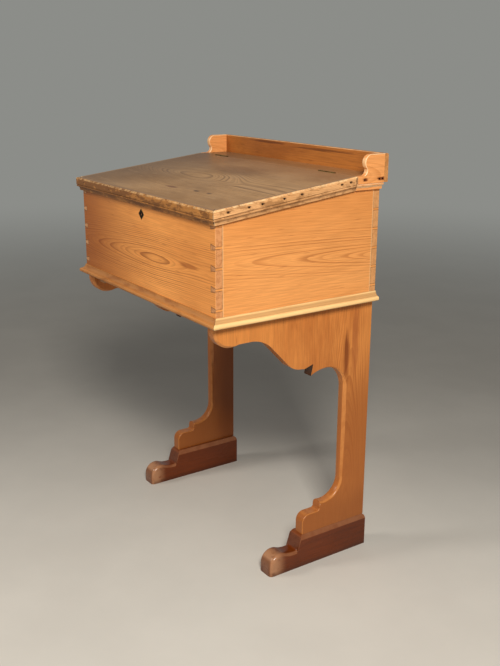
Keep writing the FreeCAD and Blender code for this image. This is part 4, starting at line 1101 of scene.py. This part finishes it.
def standard_arris(middle, direction, length):
    """Outline arrises on the two faces of a standard, clear of the toe and the joints."""
    on_joint = abs(middle.y - glue_line) < 1e-3 and abs(direction.z) > 0.99
    clear = toe_top < middle.z < 0.6875 and not on_joint
    leg_back = at(middle.y, box_rear) and middle.z > 0.09
    return on_standard_face(middle) and (clear or leg_back)


def toe_arris(middle, direction, length):
    """The arrises of a standard's toe."""
    return on_standard_face(middle) and 0.0885 < middle.z <= toe_top and middle.y < 0.13


def foot_arris(middle, direction, length):
    """The arrises of a foot's instep and riser that the CAD left square."""
    return at(abs(middle.x), foot_outer, foot_inner) and middle.z > 0.012 and middle.y < 0.031


light_rub = (standard_arris, 0.0012, 2, 62.0)
for hand in ("left", "right"):
    eased(f"standard_front_board_{hand}", "standard_wood", standard_pine, light_rub)
    eased(f"standard_rear_board_{hand}", "standard_wood", standard_pine, light_rub,
          (toe_arris, 0.0028, 3, 55.0))
    eased(f"foot_{hand}", "foot_wood", foot_stain, (foot_arris, 0.0035, 4, 55.0))

# %% [markdown]
# ## The escutcheon
# The lozenge was filed to a bevel all round. Fingers keep that bevel bright, while its
# flat has gone nearly black.

# %% Escutcheon


def lozenge_arris(middle, direction, length):
    """The four outer arrises of the lozenge's face."""
    slanting = abs(abs(direction.x) - abs(direction.z)) < 0.05
    return middle.y < box_front - 1e-4 and slanting and length > 0.01


escutcheon = board_from("keyhole_escutcheon", "worn_escutcheon", dark_brass)
escutcheon.data.materials[1] = rubbed_brass
rims = round_edges(escutcheon, lozenge_arris, 0.0011, 2, filled=True)
place_board(escutcheon, "keyhole_escutcheon")
print("escutcheon:", rims, "arrises bevelled")

# %% [markdown]
# ## Small joinery
# Battens, bearers and the short mouldings were planed and their arrises taken off once.

# %% Small joinery


def long_edge(middle, direction, length):
    """An edge along the piece."""
    return length > 0.06 and abs(direction.y) > 0.9


for hand in ("left", "right"):
    eased(f"lid_batten_{hand}", "hidden_pine", plain_pine, (long_edge, 0.0010, 2))
    eased(f"standard_bearer_{hand}", "hidden_pine", plain_pine, (long_edge, 0.0010, 2))
    eased(f"shelf_end_moulding_{hand}", "gallery_pine", gallery_end_wood, (long_edge, 0.0004, 2, 40.0))

# %% [markdown]
# ## Pieces that keep their CAD shape
# Bottom boards, hinges, lock and fasteners are already the right shape. They only need
# their finish. The first word below that a node's name holds decides which one it gets.

# %% Remaining finishes
finish_by_word = (("screws", dull_steel), ("bolt", dull_steel), ("bottom_board", bottom_pine),
                  ("escutcheon", dark_brass), ("lock", aged_brass), ("link", aged_brass),
                  ("hinge", aged_brass), ("", dark_iron))
kept_nodes = [node for node, part in nodes.items() if not part.hide_render]
for node in kept_nodes:
    materials = nodes[node].data.materials
    materials.clear()
    materials.append(next(finish for word, finish in finish_by_word if word in node))
print("nodes finished:", len(kept_nodes))
